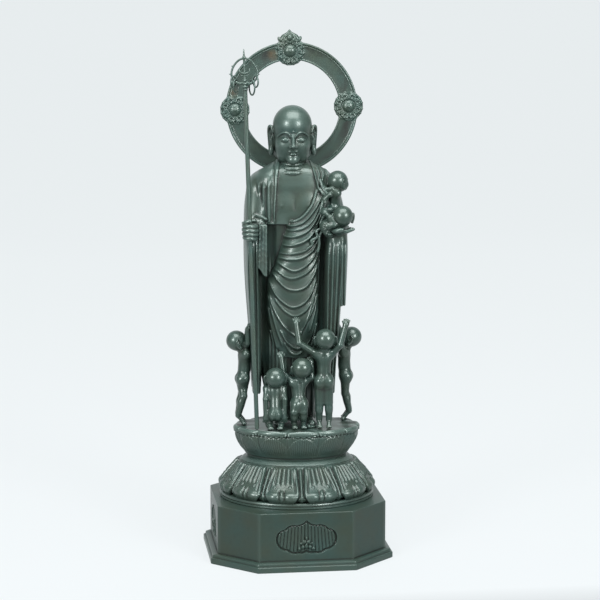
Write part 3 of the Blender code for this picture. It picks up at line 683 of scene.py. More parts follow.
class JizoPatina(bpy.types.PropertyGroup):
    """Colours and sheen of the cast bronze."""

    ground: colour_setting("Ground", "Olive green of the patina", (0.0210, 0.0305, 0.0215))
    bloom: colour_setting("Bloom", "Bluer green in broad clouds", (0.0155, 0.0345, 0.0300))
    # Colour of the hollows: partly the patina's own brown-black, partly painted shade
    hollow_patina_and_shade: colour_setting("Hollows", "Brown-black left in the hollows", (0.0045, 0.0060, 0.0045))
    rubbed: colour_setting("Rubbed", "Paler green on rubbed ridges", (0.0480, 0.0730, 0.0640))
    stain: colour_setting("Stain", "Brown stain by the halo's ornaments", (0.1200, 0.0720, 0.0220))
    reflection: colour_setting("Reflection", "Tint of the reflections", (0.86, 1.0, 0.95))
    roughness: share_setting("Roughness", "Roughness of the patina", 0.40)
    metallic: share_setting("Metallic", "Bare metal seen through the patina", 0.10)
    wax: share_setting("Wax", "Coat of wax over the patina", 0.18)
    wax_roughness: share_setting("Wax roughness", "Roughness of the wax coat", 0.10)
    texture: share_setting("Texture", "Strength of the cast skin's fine texture", 0.22)


class JizoFigures(bpy.types.PropertyGroup):
    """Size, place and fineness of the modelled figures."""

    height: length_setting("Height", "From the seat to the crown", 0.455)
    turn: angle_setting("Turn", "Turn from the plinth's front", -4.5)
    body_cell: cell_setting("Robes", 0.72)
    head_cell: cell_setting("Head", 0.42)
    child_cell: cell_setting("Children", 0.52)
    staff_cell: cell_setting("Staff", 0.42)
    ring_cell: cell_setting("Rings", 0.25)
    halo_cell: cell_setting("Halo", 0.50)
    body_budget: budget_setting("Robes", 142000)
    head_budget: budget_setting("Head", 44000)
    child_budget: budget_setting("Each child", 26000)
    staff_budget: budget_setting("Staff", 30000)
    ring_budget: budget_setting("Each ring", 5000)
    halo_budget: budget_setting("Halo", 112000)
    fold_depth: FloatProperty(
        name="Fold depth", description="Scale of the drapery's relief", min=0.0, default=1.35)


class JizoPedestal(bpy.types.PropertyGroup):
    """Sizes of the plinth and the two lotus castings."""

    corner_x: length_setting("Corner along x", "Cut corner of the plinth along x", 0.0545)
    corner_y: length_setting("Corner along y", "Cut corner of the plinth along y", 0.0514)
    lip_overhang: length_setting("Lip overhang", "How far the lip stands out", 0.0101)
    lip_height: length_setting("Lip height", "Height of the lip", 0.0135)
    panel_depth: length_setting("Panel depth", "How deep the panels are sunk", 0.0030)
    petals: IntProperty(
        name="Petals", description="Petals round each lotus", min=4, default=12)
    lotus_turn: angle_setting("Lotus petals' turn", "Turn of the lower lotus's petals", 16.6)
    seat_turn: angle_setting("Seat petals' turn", "Turn of the seat's petals from half a petal", -10.5)
    lotus_budget: budget_setting("Lower lotus", 130000)


class JizoStage(bpy.types.PropertyGroup):
    """Camera, floor and lights."""

    eye: FloatVectorProperty(
        name="Camera", description="Place of the camera", subtype="TRANSLATION", unit="LENGTH",
        size=3, default=(-0.3514, -2.7820, 0.8126))
    tilt: angle_setting("Tilt", "Camera's turn from straight down", 80.9)
    swing: angle_setting("Swing", "Camera's turn to the side", -7.3)
    lens: FloatProperty(
        name="Lens", description="Focal length", subtype="DISTANCE_CAMERA", unit="CAMERA",
        default=120.0)
    sky: share_setting("Surroundings", "Strength of the white surroundings", 0.25)
    sky_colour: colour_setting("Surroundings colour", "Colour of the surroundings", (0.90, 0.95, 1.0))
    floor_colour: colour_setting("Floor", "Colour of the floor and backdrop", (0.035, 0.037, 0.040))
    glow_colour: colour_setting(
        "Glow colour", "Light given by the floor and backdrop", (0.755, 0.795, 0.805))
    front_glow: share_setting("Front glow", "Share of that light given before the plinth", 0.15)
    key_power: power_setting("Front lights", "Power of each front softbox", 134.0)
    top_power: power_setting("Top light", "Power of the overhead softbox", 118.0)


# Standing figure, in figure units: the front is towards -y and the seat is at z = 0

# Heights of the crown, the head's middle, the hoop's middle and the cross inside the hoop
CROWN = 455.0
HEAD_HIGH = 416.0
HOOP_HIGH = 504.0
CROSS_HIGH = 501.5

# Gap kept above the seat, the figure's place on it, and radii of the staff and of its bore
SEAT_GAP = 0.3
BODY_SHIFT = (-4.0, 14.0)
STAFF_RADIUS = 3.1
STAFF_BORE = 3.5

# How square the robes' ovals are, where 2 is an ellipse
LOWER_SQUARE = 2.7
UPPER_SQUARE = 2.9
KESA_SQUARE = 2.45
SLEEVE_SQUARE = 2.5
CUFF_SQUARE = 2.6

# Robes as ovals: height, centre x and y, half width, half depth
LOWER_ROBE = (
    (5.0, 0.0, 4.0, 32.0, 21.0),
    (30.0, 0.0, 4.0, 34.5, 22.0),
    (60.0, 0.0, 4.5, 41.0, 22.5),
    (100.0, 0.0, 5.0, 47.0, 23.5),
    (160.0, 0.0, 5.5, 49.0, 24.0),
    (220.0, 0.0, 5.5, 50.0, 24.5),
    (265.0, 1.5, 5.5, 50.0, 25.5),
    (298.0, 2.5, 5.0, 50.0, 27.0),
)
UPPER_ROBE = (
    (289.5, 2.0, 1.8, 50.0, 30.2),
    (300.0, 2.0, 1.9, 52.0, 30.8),
    (332.0, 0.0, 3.0, 57.0, 30.0),
    (350.0, 0.0, 4.0, 56.0, 29.6),
    (360.0, 0.5, 5.5, 50.0, 29.0),
    (367.0, 0.5, 7.5, 40.0, 27.0),
    (373.0, 0.0, 9.5, 28.0, 21.0),
    (379.0, 0.0, 10.5, 20.0, 13.0),
)
KESA = (
    (98.0, 3.0, -2.0, 25.0, 21.5),
    (110.0, 1.5, -2.5, 30.0, 23.5),
    (125.0, 0.0, -3.0, 33.0, 25.0),
    (150.0, -0.5, -4.0, 37.0, 28.0),
    (186.0, -0.5, -4.0, 37.5, 30.5),
    (215.0, 0.5, -4.0, 36.0, 32.0),
    (229.0, 4.0, -4.0, 33.0, 32.5),
    (247.0, 7.0, -4.0, 30.0, 33.0),
    (268.0, 10.5, -4.0, 27.0, 33.0),
    (287.0, 14.0, -3.0, 26.0, 32.0),
    (300.0, 17.0, -2.0, 29.0, 31.5),
    (318.0, 20.0, -1.0, 28.0, 31.0),
    (336.0, 25.0, 1.0, 22.0, 28.0),
    (348.0, 30.0, 3.0, 14.0, 22.0),
)
STAFF_SLEEVE = (
    (47.0, -51.9, -5.0, 5.6, 21.0),
    (62.0, -52.0, -5.5, 6.4, 22.5),
    (100.0, -52.5, -6.5, 7.2, 25.0),
    (150.0, -53.6, -7.5, 8.4, 27.5),
    (200.0, -56.0, -8.5, 10.2, 29.5),
    (236.0, -57.0, -8.5, 11.2, 31.0),
    (262.0, -55.5, -7.5, 13.0, 31.5),
    (290.0, -52.0, -5.0, 16.0, 30.0),
    (314.0, -50.0, 0.0, 18.0, 28.0),
    (332.0, -48.5, 3.0, 17.5, 25.0),
    (347.0, -46.0, 5.0, 17.0, 22.0),
    (357.0, -41.5, 7.0, 15.0, 17.0),
    (364.0, -36.0, 8.0, 10.0, 11.0),
)
CHILD_SLEEVE = (
    (47.0, 52.0, -5.0, 7.0, 21.5),
    (81.0, 52.3, -6.0, 7.4, 24.0),
    (148.0, 55.8, -7.0, 10.8, 28.0),
    (173.0, 56.5, -8.0, 11.6, 29.0),
    (200.0, 57.5, -8.5, 12.6, 30.0),
    (245.0, 59.5, -9.0, 14.6, 31.5),
    (272.0, 60.5, -7.0, 16.0, 31.0),
    (292.0, 58.5, -4.0, 17.0, 30.0),
    (314.0, 53.5, 1.0, 18.5, 27.0),
    (332.0, 49.5, 4.0, 18.0, 25.0),
    (347.0, 45.0, 5.0, 17.5, 22.0),
    (357.0, 40.5, 7.0, 15.0, 17.0),
    (364.0, 35.0, 8.0, 10.0, 11.0),
)
OUTER_CUFF = (
    (173.5, 63.0, -12.0, 10.7, 22.0),
    (215.0, 64.5, -13.0, 11.6, 24.0),
    (255.0, 65.0, -14.0, 12.4, 25.0),
    (281.0, 64.0, -14.0, 12.4, 24.0),
)

# The kesa's upper edge and its hanging folds, across x and z
KESA_TOP = (
    (-24, 295), (-16, 294.5), (-2, 294), (9, 298), (18, 306), (26, 317), (30, 328), (33, 339), (35, 352),
)
KESA_FOLDS = (
    ((-14, 289), (-2, 288), (15, 294), (29, 309), (38, 324), (43, 333)),
    ((-12, 281), (11, 284), (25, 293), (34, 307), (40, 322)),
    ((-17, 273), (1, 273), (20, 281), (32, 296), (39, 312)),
    ((-17, 261), (-2, 261), (18, 268), (33, 284), (39, 300)),
    ((-22, 249), (-2, 249), (18, 254), (29, 265), (37, 282)),
    ((-23, 243), (-2, 241), (14, 244), (29, 255), (37, 272)),
    ((-25, 238), (-2, 225), (15, 230), (29, 244), (35, 260)),
    ((-29, 229), (-13, 217), (0, 214), (18, 221), (30, 234), (35, 249)),
    ((-32, 224), (-16, 204), (0, 197), (18, 202), (31, 221), (35, 238)),
    ((-36, 214), (-26, 191), (-10, 176), (3, 173), (18, 181), (29, 200), (34, 222)),
    ((-27, 186), (-21, 176), (-10, 165), (3, 160), (18, 168), (29, 184)),
    ((-37, 199), (-29, 171), (-17, 149), (-2, 134), (8, 131), (17, 147), (25, 162), (32, 180), (36, 204)),
    ((-37, 193), (-31, 165), (-23, 136), (-14, 112)),
    ((-37, 176), (-33, 150), (-27, 124), (-22, 108)),
    ((-33, 140), (-30, 122), (-27, 106)),
    ((-20, 142), (-12, 125), (-2, 115), (8, 112), (16, 118)),
    ((-14, 124), (-6, 108), (4, 103), (14, 107)),
    ((35, 210), (28, 180), (18, 150), (10, 136)),
    ((35, 193), (31, 165), (22, 134)),
    ((35, 172), (32, 150), (25, 126), (18, 114)),
    ((34, 150), (30, 130), (26, 112)),
)
KNOT_FOLDS = (
    ((46, 330), (41, 312), (37, 297), (29, 283)),
    ((48, 326), (43, 300), (39, 275), (35, 250), (33, 232)),
    ((48, 318), (46, 292), (41, 262), (37, 235), (36, 205), (35, 175)),
)
SHOULDER_FOLDS = (
    ((31, 372), (36, 362), (36, 350), (44, 334)),
    ((37, 371), (42, 360), (41, 349), (48, 334)),
    ((45, 368), (50, 356), (50, 343)),
    ((33, 352), (36, 338), (43, 332)),
    ((28, 366), (33, 350), (37, 335)),
)

# Edges of the robe on each side of the bare breast, and of the flap beside the staff
BREAST_RIGHT = ((-27, 280), (-26, 292), (-25, 314), (-23, 341), (-22, 354), (-20, 368), (-16, 386))
BREAST_LEFT = ((20, 386), (25, 374), (28, 364), (31, 351), (33, 338), (37, 326), (40, 308))
FLAP_EDGE = ((-62, 236), (-49, 229), (-43, 220), (-39.5, 217.5), (-30, 216))

# The kesa's hanging end below the knot
KESA_END = (
    (43, -34, 303), (38, -36, 292), (40, -36, 286), (32, -38, 281), (33, -38.5, 273), (25, -39.5, 268),
    (26, -39.5, 262), (18, -40, 256),
)

# Lines of a face, in the units of its head: the first three are drawn again on the other side
BROW = (
    (3.6, -28.4, -3.4), (6.5, -28.8, 0.6), (11.0, -27.6, 2.4), (16.5, -24.2, 1.0), (21.0, -19.2, -3.2),
)
LID = (
    (4.8, -26.2, -9.4), (7.6, -27.9, -10.5), (10.8, -28.1, -10.9), (14.0, -26.4, -10.3), (17.0, -23.4, -9.0),
)
CREASE = (
    (4.9, -27.2, -6.9), (8.0, -28.2, -4.9), (11.2, -27.6, -4.4), (14.6, -25.6, -5.2), (17.6, -22.6, -7.6),
)
MOUTH = (
    (-7.0, -24.2, -25.8), (-3.6, -27.3, -26.5), (0.0, -28.3, -26.0), (3.6, -27.3, -26.5), (7.0, -24.2, -25.8),
)


def within(form, fence, blend=0.0):
    """The part of one form that lies inside another."""

    def distance(x, y, z):
        return -soft_min(-form.distance(x, y, z), -fence.distance(x, y, z), blend)

    return Form(form.low, form.high, distance)


def left_of(clay, points):
    """All that lies on the left of an upright wall along a route across x and z."""
    sheet = Relief(clay)
    near, side, _ = sheet.trace(points)
    sheet.raised = -near * side

    def distance(x, y, z):
        return sheet.at(x, z) + 0.0 * y

    return Form(None, None, distance)


def front_of(rows, squareness, x, z):
    """y of an upright form's front at a place across and up it."""
    cx, cy, a, b = (float(value[0]) for value in read_rows(rows, np.array([z])))
    across = min(abs((x - cx) / a), 0.999)
    return cy - b * (1.0 - across ** squareness) ** (1.0 / squareness)


def chest_relief(clay, depth):
    """Bare breast between the raised edges of the robe."""
    relief = Relief(clay)
    relief.step(BREAST_RIGHT, 2.4, 1.3)
    relief.step(BREAST_LEFT, 2.6, 1.4)
    relief.fold(((-24, 382), (-27, 364), (-27.5, 344), (-29, 314), (-29, 288)), -1.5 * depth, 1.5)
    relief.fold(((2, 326), (2, 316), (3, 306)), -0.5, 2.2, ends=(0.4, 0.3))
    for x, top in ((-34.5, 360), (-42, 350), (-49, 352)):
        relief.fold(((x + 1, top), (x - 0.5, 330), (x, 292)), 1.2 * depth, 2.6, 1.8, ends=(0.3, 0.02))
        relief.fold(((x + 4.2, top - 4), (x + 3.4, 330), (x + 3.6, 292)), -0.9 * depth, 1.6, ends=(0.3, 0.02))
    for route in SHOULDER_FOLDS:
        relief.fold(route, 2.0 * depth, 1.8, 1.3, ends=(0.2, 0.1))
    return relief


def kesa_relief(clay, depth):
    """Folds that hang in curves across the front and draw together at the knot."""
    relief = Relief(clay)
    for number, route in enumerate(KESA_FOLDS):
        height = (1.9, 1.5, 2.1)[number % 3] * depth
        relief.fold(route, height, 2.1, 1.35, ends=(0.10, 0.12))
        relief.fold(route, 0.55 * height, 5.5, 3.6, ends=(0.12, 0.15))
        lower = [(x, z - 3.4) for x, z in route]
        relief.fold(lower, -0.55 * depth, 1.6, ends=(0.15, 0.2))
    for route in KNOT_FOLDS:
        relief.fold(route, 2.2 * depth, 1.5, 1.5, ends=(0.1, 0.25))
    return relief


def back_relief(clay, depth):
    """The kesa drawn across the back from the left shoulder to the right hip."""
    relief = Relief(clay)
    for fold in range(7):
        drop = 24.0 * fold
        route = ((46, 356 - drop), (20, 336 - drop), (-12, 306 - 1.05 * drop), (-46, 268 - 0.95 * drop))
        relief.fold(route, (1.9, 1.3)[fold % 2] * depth, 4.2, 2.4)
    relief.step(((60, 196), (24, 182), (-12, 150), (-60, 120)), 2.2 * depth, 3.0)
    for x in (-34, -23, -11, 1, 13, 24, 34):
        relief.fold(((x, 176), (x + 0.5, 90), (0.9 * x, 2)), 1.7 * depth, 3.2, 2.4, ends=(0.25, 0.01))
    return relief


def sleeve_relief(clay, tops, middles, feet, depth, bottom=47.0):
    """Upright folds that draw together towards a sleeve's hem."""
    relief = Relief(clay)
    for top, middle, foot in zip(tops, middles, feet):
        route = ((top, 272), (middle, 215), (0.5 * (middle + foot), 130), (foot, bottom - 3))
        relief.fold(route, 2.5 * depth, 2.0, 1.7, ends=(0.15, 0.01))
    return relief


def pleat_wave(count, depth, sway):
    def height(angle, z):
        return depth * np.cos(count * angle + sway * np.sin(z / 34.0))
    return height


def robes(clay, depth):
    """The robes, from the hem up to the collar."""
    back = back_relief(clay, depth)
    skirt = Relief(clay)
    for x in (-33, -28.5, -23, -17, -10, 0, 10, 20, 30):
        skirt.fold(((x, 250), (x - 1, 150), (0.94 * x, 6)), 1.8 * depth, 2.2, 1.6, ends=(0.2, 0.01))
    pleats = pleat_wave(19, 0.5, 0.5)
    clay.add(hanging(LOWER_ROBE, LOWER_SQUARE, front=skirt, back=back, pleats=pleats, rounding=1.2))
    breast = chest_relief(clay, depth)
    clay.add(hanging(UPPER_ROBE, UPPER_SQUARE, front=breast, back=back, rounding=0.8), 1.6)
    for x, wide in ((-10.5, 19.0), (16.5, 18.0)):
        clay.add(egg((x, -15.0, 320.0), (wide + 2.0, 12.9, 21.0)), 4.0)
        clay.add(egg((1.35 * x - 1.6, -26.6, 316.5), (2.4, 1.9, 2.4)), 1.6)
    apron = hanging(KESA, KESA_SQUARE, front=kesa_relief(clay, depth), rounding=1.6)
    clay.add(within(apron, left_of(clay, KESA_TOP[::-1]), 1.5), 0.8)
    edge = [(x, front_of(KESA, KESA_SQUARE, x, z) - 0.2, z) for x, z in KESA_TOP[1:8]]
    clay.rope(edge, 1.5, 1.6)


def sleeves(clay, depth):
    """Both sleeves, with the flap beside the staff and the wide cuff under the child."""
    right = sleeve_relief(clay, (-64, -58, -52), (-64, -58, -51.5), (-56, -52.5, -48.8), depth)
    behind = back_sleeve(clay, -1.0, depth)
    clay.add(hanging(STAFF_SLEEVE, SLEEVE_SQUARE, front=right, back=behind, rounding=1.2), 2.0)
    flap = slab((-49.6, -40.0, 214.0), (-37.6, -14.0, 291.0), 1.4)
    clay.add(within(flap, left_of(clay, FLAP_EDGE), 1.5), 0.6)
    for route, radius in (
        (((-38.6, -38.6, 288.0), (-38.8, -39.0, 255.0), (-38.8, -38.9, 219.5)), 1.5),
        (((-43.0, -39.4, 290.0), (-43.2, -39.6, 256.0), (-43.4, -39.0, 224.0)), 1.2),
        (((-47.6, -39.4, 292.0), (-48.0, -39.8, 262.0), (-48.6, -39.2, 230.0)), 1.3),
    ):
        clay.rope(route, radius, 1.2)
    left = sleeve_relief(clay, (50, 56, 63, 70), (48.5, 54.5, 61, 67.5), (46.8, 50.2, 53.8, 57.2), depth)
    behind = back_sleeve(clay, 1.0, depth)
    clay.add(hanging(CHILD_SLEEVE, SLEEVE_SQUARE, front=left, back=behind, rounding=1.2), 2.0)
    cuff = sleeve_relief(clay, (57, 63, 69, 74), (56, 62, 68, 73), (55, 61, 67, 72), 0.8 * depth, 172.0)
    clay.add(hanging(OUTER_CUFF, CUFF_SQUARE, front=cuff, rounding=1.4), 0.8)
    for x, z in ((-50, 296), (-46, 301), (-53, 303)):
        clay.rope(((x - 7, -24, z - 3), (x, -30, z), (x + 8, -30, z - 4)), 1.8, 2.0)


def back_sleeve(clay, side, depth):
    relief = Relief(clay)
    for x in (46.0, 53.0, 60.0, 67.0):
        route = ((side * x, 330), (side * x, 220), (side * (0.45 * x + 27.0), 50))
        relief.fold(route, 2.0 * depth, 2.8, 2.4, ends=(0.25, 0.01))
    return relief


def knot(clay):
    """Where the kesa is tied below the left shoulder, and its crinkled hanging end."""
    clay.add(egg((46.0, -25.0, 331.0), (7.0, 6.5, 5.0)), 1.5)
    clay.rope(((38, -27, 352), (41, -29, 342), (47, -31, 333), (53, -27, 328)), (1.6, 2.0, 2.4, 2.0), 0.9)
    clay.rope(((37, -27, 340), (42, -31, 333), (49, -31, 329)), 1.8, 0.9)
    clay.rope(((44, -31, 328), (40, -33, 318), (37, -34, 305)), (2.4, 2.0, 1.5), 1.2)
    clay.rope(KESA_END, (1.6, 1.9, 1.6, 1.9, 1.6, 1.9, 1.5, 1.2), 1.0)
    clay.rope(((44, -33, 296), (41, -35, 283), (36, -37, 273), (36, -37, 262), (34, -37, 252)), 1.6, 1.2)


def staff_place(height):
    """Centre of the staff at a height above the seat."""
    share = (height - 0.3) / 534.2
    return np.array((-52.6 - 16.4 * share, -50.0 + 7.0 * share, height))


def staff_hand(clay):
    """Right hand closed round the staff."""
    x, y, _ = staff_place(281.0)
    clay.limb(((-52, 4, 284), (-57, -24, 283), (x + 1.5, y + 9, 281)), (14.0, 11.0, 8.6), 3.0)
    clay.add(egg((x + 0.5, y + 6.5, 281.0), (9.6, 5.6, 12.0)), 2.5)
    for finger in range(4):
        z = 289.6 - 5.6 * finger
        reach = (8.2, 8.8, 8.5, 7.6)[finger]
        route = []
        for degrees in (40.0, -5.0, -50.0, -95.0, -140.0, -185.0, -220.0):
            ahead, across = math.sin(math.radians(degrees)), math.cos(math.radians(degrees))
            route.append((x + reach * across, y + 0.5 + 7.4 * ahead, z - 0.008 * (degrees + 90.0)))
        clay.rope(route, (2.8, 3.1, 2.7, 3.0, 2.7, 3.0, 2.8), 0.7)
    clay.rope(((x - 8, y + 5, 290), (x - 6.5, y - 3, 295), (x - 0.5, y - 6.4, 297.5)), (3.4, 3.0, 2.5), 0.8)
    for front, reach, rise in ((-27.0, 12.6, 292.0), (-31.0, 11.6, 278.0)):
        cuff = ((x - reach + 3, front, rise), (x + 3, front - 8, rise + 4), (x + reach + 5, front, rise + 2))
        clay.rope(cuff, 1.8, 1.6)


def child_hand(clay):
    """Left hand held out flat, palm up, below the lower child."""
    clay.limb(((56, 6, 284), (61, -26, 283), (63, -42, 283)), (14.0, 11.5, 8.0), 3.0)
    clay.add(egg((65.0, -46.0, 282.4), (13.0, 9.0, 4.4)), 2.5)
    for finger in range(4):
        y = -53.0 + 4.9 * finger
        reach = (80.0, 83.0, 82.5, 79.5)[finger]
        route = ((68, y + 0.5, 283), (0.5 * (68 + reach), y - 0.6, 282.4), (reach, y - 1, 284.8))
        clay.rope(route, (2.8, 2.5, 2.1), 0.7)
    clay.rope(((56, -50, 282), (60, -56, 283.5), (67, -57.5, 285)), (3.2, 2.9, 2.4), 1.0)
    for z, lift in ((287.0, 1.8), (279.0, 1.4)):
        clay.rope(((49, -34, z), (58, -38.5, z + lift), (70, -37, z), (77, -26, z - 1)), 1.8, 1.5)


def feet(clay):
    """Bare feet under the hem."""
    for x, toe in ((-21.0, -27.0), (26.5, -42.0)):
        side = math.copysign(1.0, x)
        clay.limb(((0.8 * x, 8, 5), (x, toe + 9, 5.0)), (8.0, 5.4), 2.0)
        for number in range(5):
            across = x - side * (5.4 - 2.6 * number)
            front = toe + (0.0, 0.6, 1.6, 2.8, 4.2)[number]
            radius = (2.6, 1.8, 1.7, 1.6, 1.5)[number]
            clay.rope(((across, front + 9, 3.6), (across, front, radius)), (2.6, radius), 0.6)
            clay.add(egg((across, front - 0.4, radius), (radius + 0.2, radius, radius)), 0.4)


def back_pad(clay):
    """Boss on the back that takes the halo's lug."""
    wide, face = 9.0, 33.5
    clay.add(slab((-wide, 15.0, 350.0), (wide, face, 366.0), 1.0), 1.5)
    clay.cut(slab((-2 * wide, face, 340.0), (2 * wide, face + 9.0, 376.0)))


# Head, in the units of the standing figure's head, with its centre at the origin

def mirrored(points, side):
    return [(side * x, y, z) for x, y, z in points]


def jizo_skull(place):
    """Long shaven head of the standing figure."""
    place.add(egg((0, 0.5, 11), (27.6, 29.5, 28)))
    place.add(egg((0, -2.5, -15), (25.2, 25.2, 27)), 9)
    place.add(egg((0, 8, -8), (26, 20, 25)), 6)
    for side in (-1, 1):
        place.add(egg((13.4 * side, -13.6, -15), (9.2, 9.4, 10.5)), 7)
        place.add(egg((13.6 * side, -8.5, -29), (8.2, 9.5, 9)), 7)
    place.add(egg((0, -19.6, -36.4), (8.2, 7.0, 6.4)), 6)
    place.add(egg((0, 9, -25), (27.5, 14, 18)), 4)


def child_skull(place):
    """Round shaven head of a child."""
    place.add(egg((0, 0.5, 2), (28.2, 28.6, 28.4)))
    place.add(egg((0, -5, -12), (21.5, 21, 18)), 7)
    for side in (-1, 1):
        place.add(egg((12 * side, -14.5, -11), (9.5, 9.5, 9)), 6)
    place.add(egg((0, -20, -24), (6, 5.5, 5)), 5)


def features(place):
    """Brows, half-closed eyes, nose and lips of no one in particular."""
    for side in (-1, 1):
        place.cut(egg((11.0 * side, -32.0, -6.8), (7.6, 5.2, 4.9)), 3.2)
    place.add(rod((0, -27.0, -2.5), (0, -31.8, -16.4), 2.1, 3.0), 2.6)
    place.add(egg((0, -32.2, -17.0), (3.0, 2.7, 2.5)), 1.4)
    for side in (-1, 1):
        place.add(egg((3.5 * side, -29.6, -17.9), (2.3, 2.6, 2.0)), 1.1)
        place.cut(egg((1.7 * side, -31.0, -19.9), (0.9, 1.3, 0.7)), 0.5)
        place.add(egg((10.6 * side, -23.6, -8.0), (6.4, 4.6, 4.0)), 1.1)
        place.rope(mirrored(BROW, side), 1.0, 1.3)
        place.rope(mirrored(LID, side), 0.45, 0.5, cut=True)
        place.rope(mirrored(CREASE, side), 0.35, 0.9, cut=True)
    place.cut(rod((0, -27.6, -20.8), (0, -28.0, -23.2), 0.6, 0.8), 1.2)
    for side in (-1, 1):
        place.add(egg((2.7 * side, -26.2, -24.5), (3.9, 2.3, 1.35)), 1.3)
    place.add(egg((0, -26.0, -28.2), (4.9, 2.4, 1.75)), 1.5)
    place.rope(MOUTH, 0.45, 0.6, cut=True)


def ears(place, drop):
    """Ears whose lobes hang by some drop: 1 is the standing figure's."""
    rim = (
        (27.0, -3.4, 2.0), (29.4, -1.6, 8.6), (32.4, 2.0, 8.6), (33.2, 5.6, 2.0), (32.6, 5.6, -8.0),
        (31.8, 3.4, -10.0 - 8.0 * drop), (31.0, 1.2, -13.0 - 12.0 * drop),
    )
    for side in (-1, 1):
        place.add(egg((28.4 * side, 3.0, -6 - 2 * drop), (4.6, 6.4, 9 + 8 * drop)), 2.0)
        place.rope(mirrored(rim, side), 2.0, 0.9)
        place.add(egg((29.9 * side, 0.8, -12 - 12.5 * drop), (3.9, 4.2, 3.0 + 4.5 * drop)), 1.4)
        place.cut(egg((30.6 * side, -2.6, -3.0), (1.7, 2.6, 7.0)), 1.0)
        place.add(egg((29.0 * side, -2.6, -6.5), (1.8, 1.7, 3.2)), 0.9)


def jizo_head(cell):
    """Shaven head with long ears, on a neck with three folds."""
    clay = Clay((-37, -36, 351), (37, 36, 457), cell)
    clay.add(rod((0, 3, 392), (0, 6, 352), 17.0, 19.0))
    place = Placed(clay, Matrix.Translation((0, 0, HEAD_HIGH)), 1.0, 1.0)
    jizo_skull(place)
    features(place)
    ears(place, 1.0)
    place.add(egg((0, -28.4, 3.5), (1.3, 1.0, 1.3)), 0.4)
    for z, wide, deep in ((373.5, 15.6, 16.6), (368.0, 18.5, 20.6), (362.3, 22.0, 23.8)):
        fold = []
        for degrees in range(-100, 101, 20):
            across, ahead = math.sin(math.radians(degrees)), math.cos(math.radians(degrees))
            fold.append((wide * across, 0.6 - deep * ahead, z - 1.2 * ahead))
        clay.rope(fold, 3.1, 0.4, steps=2)
    return clay


def jizo_figure(figures, material):
    """Robes, arms, hands and feet, with the head joined on."""
    clay = Clay((-86, -64, -1), (92, 46, 382), figures.body_cell)
    robes(clay, figures.fold_depth)
    sleeves(clay, figures.fold_depth)
    knot(clay)
    staff_hand(clay)
    child_hand(clay)
    feet(clay)
    back_pad(clay)
    clay.stand_flat()
    clay.cut(rod(staff_place(255.0), staff_place(310.0), STAFF_BORE, STAFF_BORE))
    body = thinned(clay.skin("jizo_figure"), figures.body_budget)
    head_clay = jizo_head(figures.head_cell)
    head = thinned(head_clay.skin("jizo_head"), figures.head_budget)
    mesh = joined(body, head)
    finish_figure("jizo", mesh, [clay, head_clay], figures, material, "jizo_figure")


def figure_place(figures):
    """Matrix from the figure's units to the object's frame."""
    unit = figures.height / CROWN
    shift = Matrix.Translation((BODY_SHIFT[0] * unit, BODY_SHIFT[1] * unit, SEAT_HIGH.z))
    return shift @ Matrix.Rotation(figures.turn, 4, "Z") @ Matrix.Scale(unit, 4)


def finish_figure(name, mesh, clays, figures, material, node, place=None, rounds=9):
    """Burnishes a modelled piece, marks its hollows and stands it in the frame."""
    burnish(mesh, clays)
    mark_hollows(mesh, rounds)
    mesh.transform(place or figure_place(figures))
    hand_over(name, mesh, material, node)


# Children

